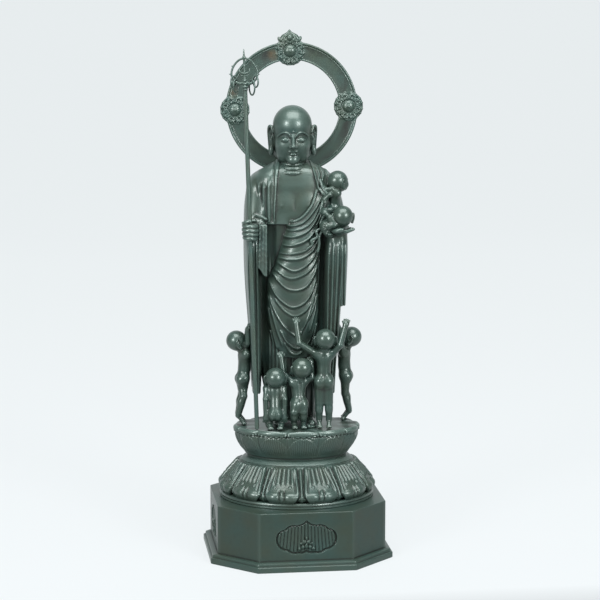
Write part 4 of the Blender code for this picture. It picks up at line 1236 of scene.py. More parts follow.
# Each child's joints: spine is head, chest and pelvis, arms are elbow and hand, legs are knee,
# ankle and toe. facing is the direction across its shoulders in degrees, tilt is how far it
# looks up, build scales its breadth, depth and limbs, and shoulders is half the span of them.
Pose = namedtuple("Pose", "facing tilt build shoulders spine arms legs")
CHILDREN = {
    "child_far_left": Pose(
        -80, 22, (0.92, 1.0, 0.95), 9.568,
        ((-80, -12, 121), (-69, -11, 97), (-71.5, -11, 68)),
        (((-64.5, -25, 121), (-64, -27, 141)), ((-66, 11, 114), (-64, 15, 133))),
        (((-71, -18, 42), (-78.5, -17, 14), (-70, -19, 2)), ((-73, -2, 42), (-78.5, -2, 14), (-70, -2, 2))),
    ),
    "child_far_right": Pose(
        80, 22, (0.92, 1.0, 0.95), 9.568,
        ((85, 12, 121), (75, 13, 94), (77, 13, 66)),
        (((69, -6, 117), (67, -11, 136)), ((70, 30, 112), (66, 31, 128))),
        (((76, 6, 40), (82, 7, 14), (73, 6, 2)), ((77, 20, 40), (83, 21, 14), (75, 21, 2))),
    ),
    "child_front_right": Pose(
        0, 30, (1.0, 1.0, 1.0), 10.4,
        ((44, -49, 129), (42.5, -42, 100), (42.5, -43, 70)),
        (((7, -49, 124), (3, -45, 152)), ((65, -51, 121), (73, -48, 150))),
        (((36, -42, 37), (36, -40, 12), (36.5, -47, 2)), ((49.5, -42, 37), (50, -40, 12), (49.5, -47, 2))),
    ),
    "child_front_middle": Pose(
        12, 34, (0.86, 1.0, 0.92), 8.944,
        ((10.5, -50, 88), (6.5, -43, 61), (7, -47, 38)),
        (((-14.5, -40, 79), (-18, -36.5, 102)), ((25, -44, 74), (24, -40, 95))),
        (((0, -54, 26), (0, -44, 9), (1, -52, 2)), ((13, -51, 26), (13.5, -43, 9), (14, -51, 2))),
    ),
    "child_front_left": Pose(
        0, 25, (0.64, 1.0, 0.86), 11.5,
        ((-26.5, -50, 74), (-27, -44, 52), (-27, -51, 24)),
        (((-40.5, -50, 44), (-40, -51, 18)), ((-13.5, -50, 44), (-14, -51, 18))),
        (((-36, -40, 9), (-34.5, -55, 6), (-33.5, -60, 3)), ((-18, -40, 9), (-19, -55, 6), (-20, -60, 3))),
    ),
    "child_on_arm_upper": Pose(
        -60, 8, (0.72, 0.9, 0.78), 7.488,
        ((63, -20, 349), (58, -21, 327), (57, -18, 311)),
        (((51, -34, 332), (44, -32.5, 326)), ((54, -30, 340), (46, -29, 338))),
        (((52, -31, 309), (45, -31, 302), (42, -31, 299)), ((63, -25, 306), (59, -22, 298), (55, -22, 295))),
    ),
    "child_on_arm_lower": Pose(
        10, 12, (0.72, 0.9, 0.76), 7.488,
        ((68, -47, 302.5), (55, -44, 294), (48, -40, 289)),
        (((50, -50, 302), (43, -43, 308)), ((56, -53, 291), (48, -54, 290))),
        (((43, -43, 285), (47, -47, 279), (50, -49, 277)), ((45, -38, 283), (48, -40, 276), (51, -42, 274))),
    ),
}
# A child narrower than this is too slight for a groove down its back
GROOVED = 0.7


def unit_of(vector):
    return vector / max(np.linalg.norm(vector), 1e-6)


def hand_of(clay, elbow, hand, forward, across):
    """A mitten palm with four short fingers and a thumb, beyond the end of an arm."""
    along = unit_of(hand - elbow)
    side = unit_of(np.cross(along, forward))
    thickness = np.cross(side, along)
    turn = Matrix((side, thickness, along)).transposed()
    clay.add(egg(hand + along * 0.8, (4.6, 2.9, 4.6), turn), 1.6)
    for finger in range(4):
        spread = (finger - 1.5) * 2.05
        base = hand + along * 3.4 + side * spread
        tip = base + along * (3.0, 3.8, 3.7, 2.8)[finger] + side * spread * 0.25 + thickness * 0.8
        clay.add(rod(base, tip, 1.4, 1.15), 0.4)
    out = side * (1.0 if side @ across > 0 else -1.0)
    clay.add(rod(hand - out * 2.8, hand - out * 5.6 + along * 3.0, 1.6, 1.2), 0.6)


def child_body(clay, pose):
    """A small bare child, up to its neck."""
    head, chest, pelvis = np.array(pose.spine, float)
    angle = math.radians(pose.facing)
    across = np.array((math.cos(angle), math.sin(angle), 0.0))
    ahead = np.array((-math.sin(angle), math.cos(angle), 0.0))
    turn = Matrix.Rotation(angle, 4, "Z")
    spine = unit_of(chest - pelvis)
    wide, deep, limb = pose.build
    clay.add(egg(chest + spine * 1.5, (11.6 * wide, 8.0 * deep, 11.6), turn))
    clay.add(rod(head, chest + spine * 4.0, 6.0, 7.0), 4.0)
    clay.add(rod(chest, pelvis, 8.0 * deep, 8.4 * deep), 6.0)
    clay.add(egg((chest + pelvis) / 2 + ahead * 2.0, (9.4 * wide, 7.4 * deep, 11.0), turn), 5.0)
    clay.add(egg(pelvis, (12.0 * wide, 8.8 * deep, 8.6), turn), 5.0)
    for side in (-1.0, 1.0):
        rump = pelvis - ahead * 4.6 * deep + across * side * 5.8 * wide - spine * 2.2
        clay.add(egg(rump, (6.4 * wide, 5.9 * deep, 7.0), turn), 2.4)
        blade = chest - ahead * 4.6 * deep + across * side * 5.6 * wide + spine * 3.4
        clay.add(egg(blade, (4.2, 3.0, 5.6), turn), 3.0)
    if wide > GROOVED:
        top = chest - ahead * 10.2 * deep + spine * 5.0
        foot = pelvis - ahead * 9.9 * deep + spine * 5.0
        clay.cut(rod(top, foot, 0.8, 0.9), 3.4)
    cleft = pelvis - ahead * 11.6 * deep
    clay.cut(rod(cleft, pelvis - ahead * 10.8 * deep - spine * 7.5, 0.5, 0.7), 2.0)
    for side, arm, leg in zip((-1.0, 1.0), pose.arms, pose.legs):
        shoulder = chest + across * side * pose.shoulders + spine * 6.4
        elbow, hand = np.array(arm, float)
        clay.add(egg(shoulder, np.array((5.6, 5.4, 5.6)) * limb), 5.0)
        clay.limb((shoulder, elbow), (5.2 * limb, 4.5 * limb), 4.5)
        clay.limb((elbow, hand), (4.5 * limb, 4.0 * limb), 1.0)
        hand_of(clay, elbow, hand, ahead, across * side)
        hip = pelvis + across * side * 6.4 * wide - spine * 1.5
        knee, ankle, toe = np.array(leg, float)
        clay.limb((hip, knee), (7.4 * limb, 6.0 * limb), 6.0)
        clay.limb((knee, ankle), (6.0 * limb, 4.5 * limb), 1.0)
        clay.add(egg(knee + (ankle - knee) * 0.36 - ahead * 1.0, np.array((5.5, 5.7, 9.0)) * limb), 2.0)
        foot_of(clay, ankle, toe)


def foot_of(clay, ankle, toe):
    """A short flat foot with five toes."""
    along = unit_of((toe - ankle) * (1.0, 1.0, 0.0))
    side = np.array((-along[1], along[0], 0.0))
    sole = toe + (0.0, 0.0, 0.9)
    clay.add(rod(ankle, sole, 3.3, 2.9), 1.2)
    clay.add(rod(sole - side * 1.6, sole + side * 1.6, 2.7, 2.7), 1.0)
    for number in range(5):
        base = sole + side * (number - 2) * 1.55
        clay.add(rod(base, base + along * (3.2 - 0.25 * abs(number - 1)), 1.25, 1.0), 0.4)


def child(figures, name, pose, material):
    """A child's body and its head, which is tilted back to look up."""
    places = np.array([*pose.spine, *sum(pose.arms, ()), *sum(pose.legs, ())], float)
    low = places.min(axis=0) - 17.0
    high = places.max(axis=0) + 17.0
    low[2] = max(low[2], -2.0)
    clay = Clay(low, high, figures.child_cell)
    child_body(clay, pose)
    front = Matrix.Rotation(math.radians(pose.facing) + math.pi, 4, "Z")
    head = Matrix.Translation(pose.spine[0]) @ front @ Matrix.Rotation(math.radians(-pose.tilt), 4, "X")
    child_skull(Placed(clay, head, 0.505, 0.505))
    features(Placed(clay, head @ Matrix.Translation((0, 0, 0.8)), 0.475, 0.475))
    ears(Placed(clay, head, 0.475, 0.475), 0.42)
    clay.stand_flat()
    mesh = thinned(clay.skin(name), figures.child_budget)
    finish_figure(name + "_cast", mesh, [clay], figures, material, name)


# Staff

def hoop_place(angle):
    """A point of the pear-shaped hoop; angle 0 is its foot and half a turn its peak."""
    middle = staff_place(HOOP_HIGH)
    wide = 17.6 * math.sin(angle) * (1.0 + 0.20 * math.cos(angle))
    return middle + np.array((wide, 0.0, -18.0 * math.cos(angle)))


def staff(figures, material):
    """Shaft, pear-shaped hoop with small nubs, and the trident that stands in it."""
    clay = Clay((-90, -57, -1), (-45, -37, 538), figures.staff_cell)
    clay.add(rod(staff_place(3.4), staff_place(484.0), STAFF_RADIUS, STAFF_RADIUS))
    for height, radius, thick in ((479.0, 4.0, 1.8), (483.0, 4.6, 2.2), (487.0, 3.6, 2.0)):
        clay.add(egg(staff_place(height), (radius, radius, thick)), 0.5)
    hoop = [hoop_place(math.radians(degrees)) for degrees in range(14, 347, 8)]
    clay.rope(hoop, [1.9] * 3 + [1.3] * (len(hoop) - 6) + [1.9] * 3, 0.5, steps=2)
    cross = staff_place(CROSS_HIGH)
    for side in (-1.0, 1.0):
        start = hoop_place(side * math.radians(18.0))
        clay.rope((start, staff_place(488.5) + (side * 2.8, 0, 0), staff_place(491.0)), (1.6, 1.7, 1.3), 0.5)
        for degrees, reach in ((76.0, 3.0), (112.0, 2.6)):
            start = hoop_place(side * math.radians(degrees))
            out = np.array((side, 0.0, 0.25))
            clay.add(rod(start, start + out * reach, 1.2, 0.6), 0.8)
        arm = ((0, 0, 0), (side * 4.6, 0, 0.4), (side * 6.6, 0, 3.0), (side * 6.9, 0, 6.4))
        clay.rope(cross + arm, (1.4, 1.3, 1.1, 0.7), 0.5)
        hook = ((0, 0, -3), (side * 4.0, 0, -3.6), (side * 4.6, 0, -1.4))
        clay.rope(cross + hook, 0.8, 0.5)
    stem = [staff_place(height) for height in (482.0, 500.0, 512.0, 522.0, 534.0)]
    clay.limb(stem, (2.2, 1.6, 1.5, 1.7, 0.7), 0.6)
    clay.add(egg(staff_place(491.5), (2.9, 2.9, 2.9)), 0.6)
    clay.add(egg(cross, (2.4, 2.2, 2.2)), 0.6)
    clay.add(egg(staff_place(523.5), (2.4, 2.2, 1.8)), 0.8)
    clay.stand_flat()
    mesh = thinned(clay.skin("staff"), figures.staff_budget)
    finish_figure("staff_cast", mesh, [clay], figures, material, "staff")


# Rings: name, degrees round the hoop, half width, half height, turn and how far it is lifted
RINGS = (
    ("staff_ring_left_outer", -52.0, 6.2, 8.0, -32.0, 4.62),
    ("staff_ring_left_inner", -36.0, 6.0, 9.0, -36.0, 3.96),
    ("staff_ring_right_inner", 30.0, 6.2, 10.4, 36.0, 3.96),
    ("staff_ring_right_outer", 52.0, 6.0, 7.6, 32.0, 4.62),
)
RING_WIRE = 1.15


def staff_rings(figures, material):
    """Four loose rings that hang on the hoop's lower shoulders."""
    for name, degrees, wide, high, turn, lift in RINGS:
        centre = hoop_place(math.radians(degrees)) + (0.0, 0.0, lift - high)
        spin = math.radians(90.0 + turn)
        route = []
        for step in range(25):
            angle = 2.0 * math.pi * step / 24.0
            across = wide * math.sin(angle)
            route.append(centre + (across * math.cos(spin), across * math.sin(spin), high * math.cos(angle)))
        clay = Clay(centre - (9, 9, 12), centre + (9, 9, 12), figures.ring_cell)
        clay.rope(route, RING_WIRE, steps=1)
        mesh = thinned(clay.skin(name), figures.ring_budget)
        finish_figure(name + "_cast", mesh, [clay], figures, material, name)


# Halo, in figure units from its own centre

HALO_MIDDLE = 80.95
HALO_HALF_WIDTH = 12.75
HALO_CENTRE = (0.8, 40.0, 448.5)
HALO_LEAN = math.radians(-1.7)
ORNAMENT_SCALE = 1.07

# Curl down each side of a leaf: distance from the boss, swing from the leaf's middle, and y
LEAF_CURL = ((9.4, 0.30, -4.6), (12.4, 0.36, -4.4), (15.6, 0.26, -4.2), (15.2, 0.12, -4.6))


def band_form():
    """Flat ring with rounded edges."""

    def distance(x, y, z):
        radial = np.abs(np.sqrt(x * x + z * z) - HALO_MIDDLE) - HALO_HALF_WIDTH + 1.0
        deep = np.abs(y) - 2.0
        outside = np.sqrt(np.maximum(radial, 0) ** 2 + np.maximum(deep, 0) ** 2)
        return outside + np.minimum(np.maximum(radial, deep), 0.0) - 1.0

    reach = HALO_MIDDLE + HALO_HALF_WIDTH
    return Form(np.array((-reach, -3, -reach)), np.array((reach, 3, reach)), distance)


def hoop_form(radius, thickness, y):
    """A round wire bent to a circle about the y axis, at some y."""

    def distance(x, depth, z):
        return np.sqrt((np.sqrt(x * x + z * z) - radius) ** 2 + (depth - y) ** 2) - thickness

    reach = radius + thickness
    low = np.array((-reach, y - thickness, -reach))
    high = np.array((reach, y + thickness, reach))
    return Form(low, high, distance)


def on_wheel(radius, angle, y):
    return (radius * math.cos(angle), y, radius * math.sin(angle))


def wheel(place):
    """Ornament of curled leaves round a boss."""
    place.add(egg((0, 0, 0), (18.6, 5.0, 18.6)), 1.0)
    place.add(hoop_form(17.9, 1.5, -1.6), 0.6)
    for leaf in range(8):
        angle = math.radians(45.0 * leaf + 22.5)
        turn = Matrix.Rotation(-angle, 4, "Y")
        place.add(egg(on_wheel(13.2, angle, -3.2), (5.0, 2.6, 4.4), turn), 0.7)
        place.cut(egg(on_wheel(13.4, angle, -5.6), (3.0, 1.6, 2.0), turn), 0.6)
        for side in (-1.0, 1.0):
            place.add(egg(on_wheel(18.0, angle + side * 0.17, -2.4), (1.9, 1.9, 1.9)), 0.5)
            curl = [on_wheel(radius, angle + side * swing, y) for radius, swing, y in LEAF_CURL]
            place.rope(curl, (0.8, 0.95, 0.95, 1.15), 0.3)
    place.cut(hoop_form(8.7, 1.1, -4.7), 0.6)
    place.add(egg((0, -3.2, 0), (7.6, 4.2, 7.6)), 0.4)
    for petal in range(6):
        angle = math.radians(60.0 * petal + 30.0)
        place.cut(rod(on_wheel(2.6, angle, -8.0), on_wheel(7.2, angle, -5.2), 0.3, 0.5), 0.5)
    place.add(egg((0, -6.9, 0), (2.3, 1.3, 2.3)), 0.4)


# Curls of the flame on one side: route, radii and roundness of the join
FLAME = (
    (((0, -3.8, 11.4), (4.6, -4.0, 12.8), (7.0, -3.8, 16.2), (6.0, -3.4, 19.4), (6.6, -2.8, 20.8)),
     (1.3, 1.5, 1.6, 1.3, 0.9), 0.5),
    (((11.0, -1.2, 13.5), (13.6, -1.0, 15.6), (14.6, -0.8, 17.8)), (2.6, 2.2, 1.0), 0.9),
    (((9.4, -1.2, 15.6), (8.6, -1.2, 18.4), (4.8, -1.2, 20.8), (1.9, -1.1, 23.2), (0, -1.0, 27.4)),
     (2.8, 2.6, 2.4, 1.7, 0.5), 1.0),
)


def flaming_jewel(place):
    """Jewel in a flame, on top of the highest wheel."""
    place.add(egg((0, -3.8, 17.4), (4.4, 4.0, 4.4)), 0.4)
    for side in (-1.0, 1.0):
        for route, radii, joins in FLAME:
            place.rope(mirrored(route, side), radii, joins)
    place.add(egg((0, -1.0, 18.6), (7.2, 2.8, 5.2)), 1.4)


def halo(figures, material):
    """Flat ring with raised rims, three scrolled ornaments and the lug on the figure's back."""
    clay = Clay((-103, -12, -97), (103, 5, 116), figures.halo_cell)
    clay.add(band_form())
    for radius, thickness, y, blend in (
        (92.0, 1.7, -2.8, 0.5), (69.5, 1.3, -2.7, 0.4), (88.9, 0.6, -3.0, 0.3), (92.2, 1.2, 2.4, 0.4),
    ):
        clay.add(hoop_form(radius, thickness, y), blend)
    for degrees in (0.0, -90.0, 90.0):
        spot = Matrix.Rotation(math.radians(degrees), 4, "Y") @ Matrix.Translation((0, 0, HALO_MIDDLE))
        place = Placed(clay, spot, ORNAMENT_SCALE, 1.0)
        wheel(place)
        if degrees == 0.0:
            flaming_jewel(place)
    clay.add(slab((-8.8, -6.2, -97.0), (7.2, 3.0, -84.0), 0.6), 0.4)
    mesh = thinned(clay.skin("halo"), figures.halo_budget)
    place = figure_place(figures) @ Matrix.Translation(HALO_CENTRE) @ Matrix.Rotation(HALO_LEAN, 4, "Y")
    finish_figure("halo_cast", mesh, [clay], figures, material, "halo", place, rounds=3)


# Pedestal, in millimetres from the middle of each casting's foot

# Outlines as height, half width and half depth; petals and bowl begin with a share from 0 to 1
LOTUS_FOOT = (
    (0.0, 109.6, 95.6), (0.7, 110.5, 96.5), (3.0, 110.5, 96.5), (3.5, 109.3, 95.3), (4.3, 109.3, 95.3),
    (4.8, 110.5, 96.5), (7.0, 110.5, 96.5), (7.9, 109.5, 95.5), (8.1, 104.5, 90.0), (8.5, 104.0, 89.0),
)
LOTUS_PETALS = (
    (0.00, 8.6, 99.0, 88.0), (0.05, 10.0, 103.0, 92.5), (0.12, 13.4, 106.8, 96.0), (0.20, 17.4, 108.0, 96.6),
    (0.31, 22.0, 106.0, 92.6), (0.45, 28.0, 101.6, 85.6), (0.62, 35.0, 95.5, 76.4), (0.80, 43.0, 88.4, 66.0),
    (0.92, 49.0, 83.4, 58.6), (1.00, 51.6, 81.2, 55.4),
)
LOTUS_COLLAR = ((51.9, 80.2, 54.6), (52.5, 80.4, 54.8), (56.4, 76.0, 50.4), (57.0, 75.0, 49.4))
SEAT_NECK = ((0.0, 70.8, 46.2), (0.4, 71.2, 46.6), (3.4, 71.2, 46.6))
SEAT_BOWL = (
    (0.00, 3.6, 71.8, 47.2), (0.05, 5.4, 74.0, 49.2), (0.10, 8.5, 75.8, 50.6), (0.28, 15.5, 80.2, 53.2),
    (0.48, 23.0, 84.4, 55.4), (0.68, 30.0, 86.6, 56.4), (0.82, 35.0, 87.2, 56.4), (0.88, 37.2, 87.6, 56.4),
    (0.93, 39.4, 88.9, 57.5), (0.97, 41.8, 88.9, 57.5), (1.00, 43.4, 87.2, 55.9),
)
SEAT_LEDGE = ((44.0, 84.8, 53.6), (44.0, 60.0, 38.0))

# Curled rolls along a seat petal's rim: place across it, level and size
RIM_ROLLS = (
    (-0.90, 0.91, 0.10), (-0.66, 0.90, 0.12), (-0.36, 0.885, 0.15), (0.0, 0.88, 0.17), (0.36, 0.885, 0.14),
    (0.68, 0.90, 0.12), (0.92, 0.91, 0.09),
)

# Points round each casting, and levels up its petals
LOTUS_GRID = (840, 84)
SEAT_GRID = (720, 72)

# Buds of a panel's flower on its right: place across, level as a share of its height, radii, rise
BUDS = (
    (0.0, -0.20, (2.8, 3.8), 2.6), (4.9, -0.23, (3.1, 2.7), 2.3), (2.9, -0.08, (2.4, 3.0), 2.0),
    (9.6, -0.28, (3.2, 2.1), 2.0), (0.0, 0.03, (2.0, 2.6), 1.8), (7.4, -0.13, (1.8, 1.8), 1.6),
)

# Plinth: bare margins round a panel, the share of the face below a panel's middle, radius of
# the upright edges, and points along each face from the front's left
MARGIN_SIDE = 22.2
MARGIN_TOP = 10.7
MARGIN_FOOT = 11.4
PANEL_LEVEL = 0.40
EDGE_RADIUS = 0.8
FACE_POINTS = (200, 14, 120, 14, 24, 14, 120, 14)


def closed_rings(name, rings):
    """A closed skin through rings of equally many points, lowest first, with flat ends."""
    count = rings.shape[1]
    here = np.arange(count)
    after = np.roll(here, -1)
    strips = []
    for level in range(len(rings) - 1):
        low, high = level * count, (level + 1) * count
        strips.append(np.stack([low + here, low + after, high + after, high + here], axis=1))
    mesh = quad_mesh(name, rings.reshape(-1, 3), np.concatenate(strips))
    shape = bmesh.new()
    shape.from_mesh(mesh)
    bmesh.ops.holes_fill(shape, edges=[edge for edge in shape.edges if edge.is_boundary])
    bmesh.ops.recalc_face_normals(shape, faces=shape.faces)
    shape.to_mesh(mesh)
    shape.free()
    return mesh


def petal_places(around, petals, offset):
    """Angles round an oval, and how far each is across its petal: -1 to 1, 0 at the middle."""
    angles = 2.0 * math.pi * np.arange(around) / around
    turn = (angles - offset) * petals / (2.0 * math.pi)
    return angles, 2.0 * (turn - np.round(turn))


def oval_rings(rows, angles):
    """Rings of points for rows of height, half width and half depth."""
    rows = np.array(rows, float)
    z = np.repeat(rows[:, :1], len(angles), axis=1)
    return np.stack([rows[:, 1:2] * np.cos(angles), rows[:, 2:3] * np.sin(angles), z], axis=2)


def smooth_levels(rows, count):
    """Rows of a table read smoothly at evenly spread shares, which are its first column."""
    shares = np.linspace(rows[0][0], rows[-1][0], count)
    return shares[:, None], np.stack(read_rows(rows, shares), axis=1)


def pushed(rings, heights):
    """Rings moved outward along their skin's normals."""
    round_way = np.roll(rings, -1, axis=1) - np.roll(rings, 1, axis=1)
    up_way = np.gradient(rings, axis=0)
    normal = np.cross(round_way, up_way)
    normal /= np.maximum(np.linalg.norm(normal, axis=2, keepdims=True), 1e-9)
    return rings + normal * heights[:, :, None]


def bump(across, share, centre, radii):
    """A rounded rise, 1 at its centre and 0 at its edge."""
    away = ((across - centre[0]) / radii[0]) ** 2 + ((share - centre[1]) / radii[1]) ** 2
    return np.sqrt(np.clip(1.0 - away, 0.0, 1.0))


def turned_petals(across, v):
    """Relief of the lower lotus: v is 0 at the curled tip and 1 at the collar."""
    side = np.abs(across)
    half = np.where(v < 0.30, 0.88 * np.sqrt(np.clip(1.0 - ((0.30 - v) / 0.31) ** 2, 0.0, 1.0)),
                    0.88 - 0.12 * (v - 0.30) / 0.70)
    reach = (half - side) * (27.0 - 11.0 * v)
    fade = ease((0.93 - v) / 0.05)
    relief = 2.8 * ease(reach / 1.8 + 0.3) * ease((0.97 - v) / 0.06)
    relief += 1.0 * np.exp(-((reach - 1.9) / 1.2) ** 2) * fade * ease((v - 0.22) / 0.2)
    relief -= 1.1 * np.exp(-((reach - 4.4) / 1.1) ** 2) * fade * ease((v - 0.22) / 0.16)
    for middle in (-0.40, 0.40):
        relief += 2.6 * np.exp(-(((across - middle) / 0.30) ** 2 + ((v - 0.19) / 0.13) ** 2))
        relief += 1.2 * ease(1.3 * bump(across, v, (middle, 0.43), (0.085, 0.045)))
    relief += 1.2 * np.exp(-(across / 0.07) ** 2) * ease((v - 0.08) / 0.05) * ease((0.36 - v) / 0.06)
    relief -= 1.4 * np.exp(-((side - 0.13) / 0.05) ** 2) * ease((v - 0.10) / 0.06) * ease((0.40 - v) / 0.08)
    for middle in (-0.54, -0.27, 0.0, 0.27, 0.54):
        bar = np.clip(1.0 - ((across - middle) / 0.12) ** 2, 0.0, 1.0) ** 0.8
        round_top = np.sqrt(np.clip((0.925 - 0.08 * middle ** 2 - v) / 0.05, 0.0, 1.0))
        relief += 1.6 * bar * ease((v - 0.44) / 0.10) * np.minimum(round_top, 1.0)
    outer = (1.0 - side) * 24.0
    below = reach < 0.0
    relief += np.where(below, 1.6 * np.exp(-(outer / 1.6) ** 2) * ease(v / 0.1) * fade, 0.0)
    relief -= np.where(below, 1.2 * np.exp(-((reach + 0.9) / 0.9) ** 2), 0.0) * fade
    hollow = ease((0.17 - v) / 0.10) * ease(-reach / 2.0) * ease((outer / 24.0 - 0.13 - 0.5 * v) * 9.0 + 0.4)
    return relief - 0.8 * hollow


def upright_petals(across, v):
    """Relief of the seat: broad cupped petals whose curled rims roll outwards."""
    side = np.abs(across)
    gap = (1.0 - side) * 21.0
    relief = 1.1 * (1.0 - side ** 2.0) * ease(v / 0.3)
    relief -= 0.45 * np.exp(-(gap / 0.8) ** 2) * ease(v / 0.15)
    arch = 0.83 - 0.42 * side ** 2.2
    relief += 0.3 * ease((arch - v) / 0.05)
    relief -= 0.16 * np.exp(-((arch - v) / 0.014) ** 2)
    relief += 0.30 * np.cos(14.0 * math.pi * across) * ease((arch - v) / 0.08) * ease((v - 0.06) / 0.1)
    rim = ease((v - 0.86) / 0.05)
    relief += rim * (0.8 * (1.0 - side ** 2.0) - 0.4 * np.exp(-(gap / 1.6) ** 2))
    relief -= 0.9 * np.exp(-((v - 0.855) / 0.02) ** 2)
    for middle, level, size in RIM_ROLLS:
        relief += 1.1 * ease(1.2 * bump(across, v, (middle, level), (size, 0.030)))
        relief -= 0.7 * bump(across, v, (middle, level - 0.075), (0.8 * size, 0.022))
    return relief


def finish_casting(name, mesh, place, material, node, sharp=50.0):
    """Shades a pedestal casting, marks its hollows and stands it in the frame."""
    mark_hollows(mesh, rounds=7)
    mesh.transform(place @ Matrix.Scale(MM, 4))
    mesh.shade_smooth()
    mesh.set_sharp_from_angle(angle=math.radians(sharp))
    hand_over(name, mesh, material, node)


def lower_lotus(pedestal, figures, material):
    """Foot ring, petals turned down with curled lobes, and the collar under the seat."""
    around, up = LOTUS_GRID
    angles, across = petal_places(around, pedestal.petals, pedestal.lotus_turn)
    v, levels = smooth_levels(LOTUS_PETALS, up)
    petals = pushed(oval_rings(levels, angles), turned_petals(across[None, :], v))
    rings = np.concatenate([oval_rings(LOTUS_FOOT, angles), petals, oval_rings(LOTUS_COLLAR, angles)])
    mesh = thinned(closed_rings("lower_lotus", rings), pedestal.lotus_budget)
    place = Matrix.Translation((0, 0, LOTUS_LOW.z)) @ Matrix.Rotation(figures.turn, 4, "Z")
    finish_casting("lower_lotus_cast", mesh, place, material, "lower_lotus")


def seat(pedestal, figures, material):
    """Lotus bowl with a flat top."""
    around, up = SEAT_GRID
    angles, across = petal_places(around, pedestal.petals, math.pi / pedestal.petals + pedestal.seat_turn)
    v, levels = smooth_levels(SEAT_BOWL, up)
    bowl = pushed(oval_rings(levels, angles), upright_petals(across[None, :], v))
    rings = np.concatenate([oval_rings(SEAT_NECK, angles), bowl, oval_rings(SEAT_LEDGE, angles)])
    mesh = closed_rings("seat", rings)
    place = Matrix.Translation((0, 0, SEAT_LOW.z)) @ Matrix.Rotation(figures.turn, 4, "Z")
    finish_casting("seat_cast", mesh, place, material, "seat")


def cusped_outline(width, height):
    """Outline of a sunk panel: three scallops a side under a pointed top, two lobes below."""
    w = width / 2.0
    right = (
        (0.0, 0.60 * height), (0.37 * w, 0.46 * height), (0.70 * w, 0.34 * height),
        (w, 0.0), (0.62 * w, -0.34 * height), (0.26 * w, -0.42 * height), (0.0, -0.38 * height),
    )
    half = []
    for start, end, rise in zip(right, right[1:], (-0.05, 0.05, 0.10, 0.10, 0.05, 0.03)):
        start, end = np.array(start), np.array(end)
        chord = end - start
        side = np.array((-chord[1], chord[0])) / np.linalg.norm(chord)
        for share in np.linspace(0.0, 1.0, 9)[:-1]:
            half.append(start + chord * share + side * (rise * w * 4.0 * share * (1.0 - share)))
    half.append(np.array(right[-1]))
    return half + [point * (-1, 1) for point in half[-2:0:-1]]


def outline_distance(points, x, z):
    """Distance to a closed outline, above 0 inside it."""
    near = np.full(np.broadcast(x, z).shape, FAR)
    inside = np.zeros(near.shape, bool)
    for (ax, az), (bx, bz) in zip(points, points[1:] + points[:1]):
        dx, dz = bx - ax, bz - az
        share = np.clip(((x - ax) * dx + (z - az) * dz) / max(dx * dx + dz * dz, 1e-12), 0.0, 1.0)
        near = np.minimum(near, np.hypot(x - ax - share * dx, z - az - share * dz))
        if az != bz:
            inside ^= ((az > z) != (bz > z)) & (x < ax + dx * (z - az) / dz)
    return np.where(inside, near, -near)


def panel_relief(x, z, width, height, depth):
    """Height of a panel's face, below 0 where it is sunk, around its own middle."""
    reach = outline_distance(cusped_outline(width, height), x, z)
    sunk = -depth * ease(reach + 0.2)
    within_panel = ease((reach - 1.6) / 1.6)
    lean = x * (1.0 + 0.0035 * (z + 0.2 * height))
    sunk += 1.5 * np.abs(np.cos(math.pi * lean / 5.0)) ** 0.8 * within_panel
    for across, level, radii, rise in BUDS:
        for middle in sorted({-across, across}):
            sunk += rise * bump(x, z, (middle, level * height), radii) * ease(reach / 1.2)
    return np.minimum(sunk, 0.6)


def octagon(half_width, half_depth, cut_x, cut_y, grow):
    """Corners of an oblong with cut corners, from the front's left, grown evenly."""
    more = grow * (2.0 - math.sqrt(2.0))
    a, b = half_width + grow, half_depth + grow
    c, d = cut_x + more, cut_y + more
    return np.array([
        (-a + c, -b), (a - c, -b), (a, -b + d), (a, b - d),
        (a - c, b), (-a + c, b), (-a, b - d), (-a, -b + d),
    ])


def plinth_profile(lip, out, top):
    """Height and overhang of each level of the plinth, from its foot."""
    return [
        (0.0, out - 0.7), (0.7, out), (lip - 6.1, out), (lip - 5.5, out - 0.5), (lip - 5.0, out - 2.0),
        (lip - 4.6, out - 2.6), (lip - 2.1, out - 3.0), (lip - 1.3, out - 3.3), (lip - 0.7, out - 4.1),
        (lip, 0.8), (lip + 0.25, 0.15), (lip + 0.7, 0.0),
        *((z, 0.0) for z in np.linspace(lip + 1.6, top - 1.3, 88)),
        (top - 0.5, -0.12), (top - 0.12, -0.5), (top, -1.3),
    ]


def plinth_ring(corners):
    """Points round one level, with each corner eased over the edge radius."""
    ring = []
    for start, end, count in zip(corners, np.roll(corners, -1, axis=0), FACE_POINTS):
        length = np.linalg.norm(end - start)
        edge = EDGE_RADIUS / length
        shares = np.concatenate([(edge * 0.25,), np.linspace(edge, 1.0 - edge, count), (1.0 - edge * 0.25,)])
        along = (end - start) / length
        soft = np.zeros(len(shares))
        soft[0] = soft[-1] = 0.17
        inward = np.array((-along[1], along[0]))
        ring.append(start + (end - start) * shares[:, None] + inward * soft[:, None])
    return np.concatenate(ring)


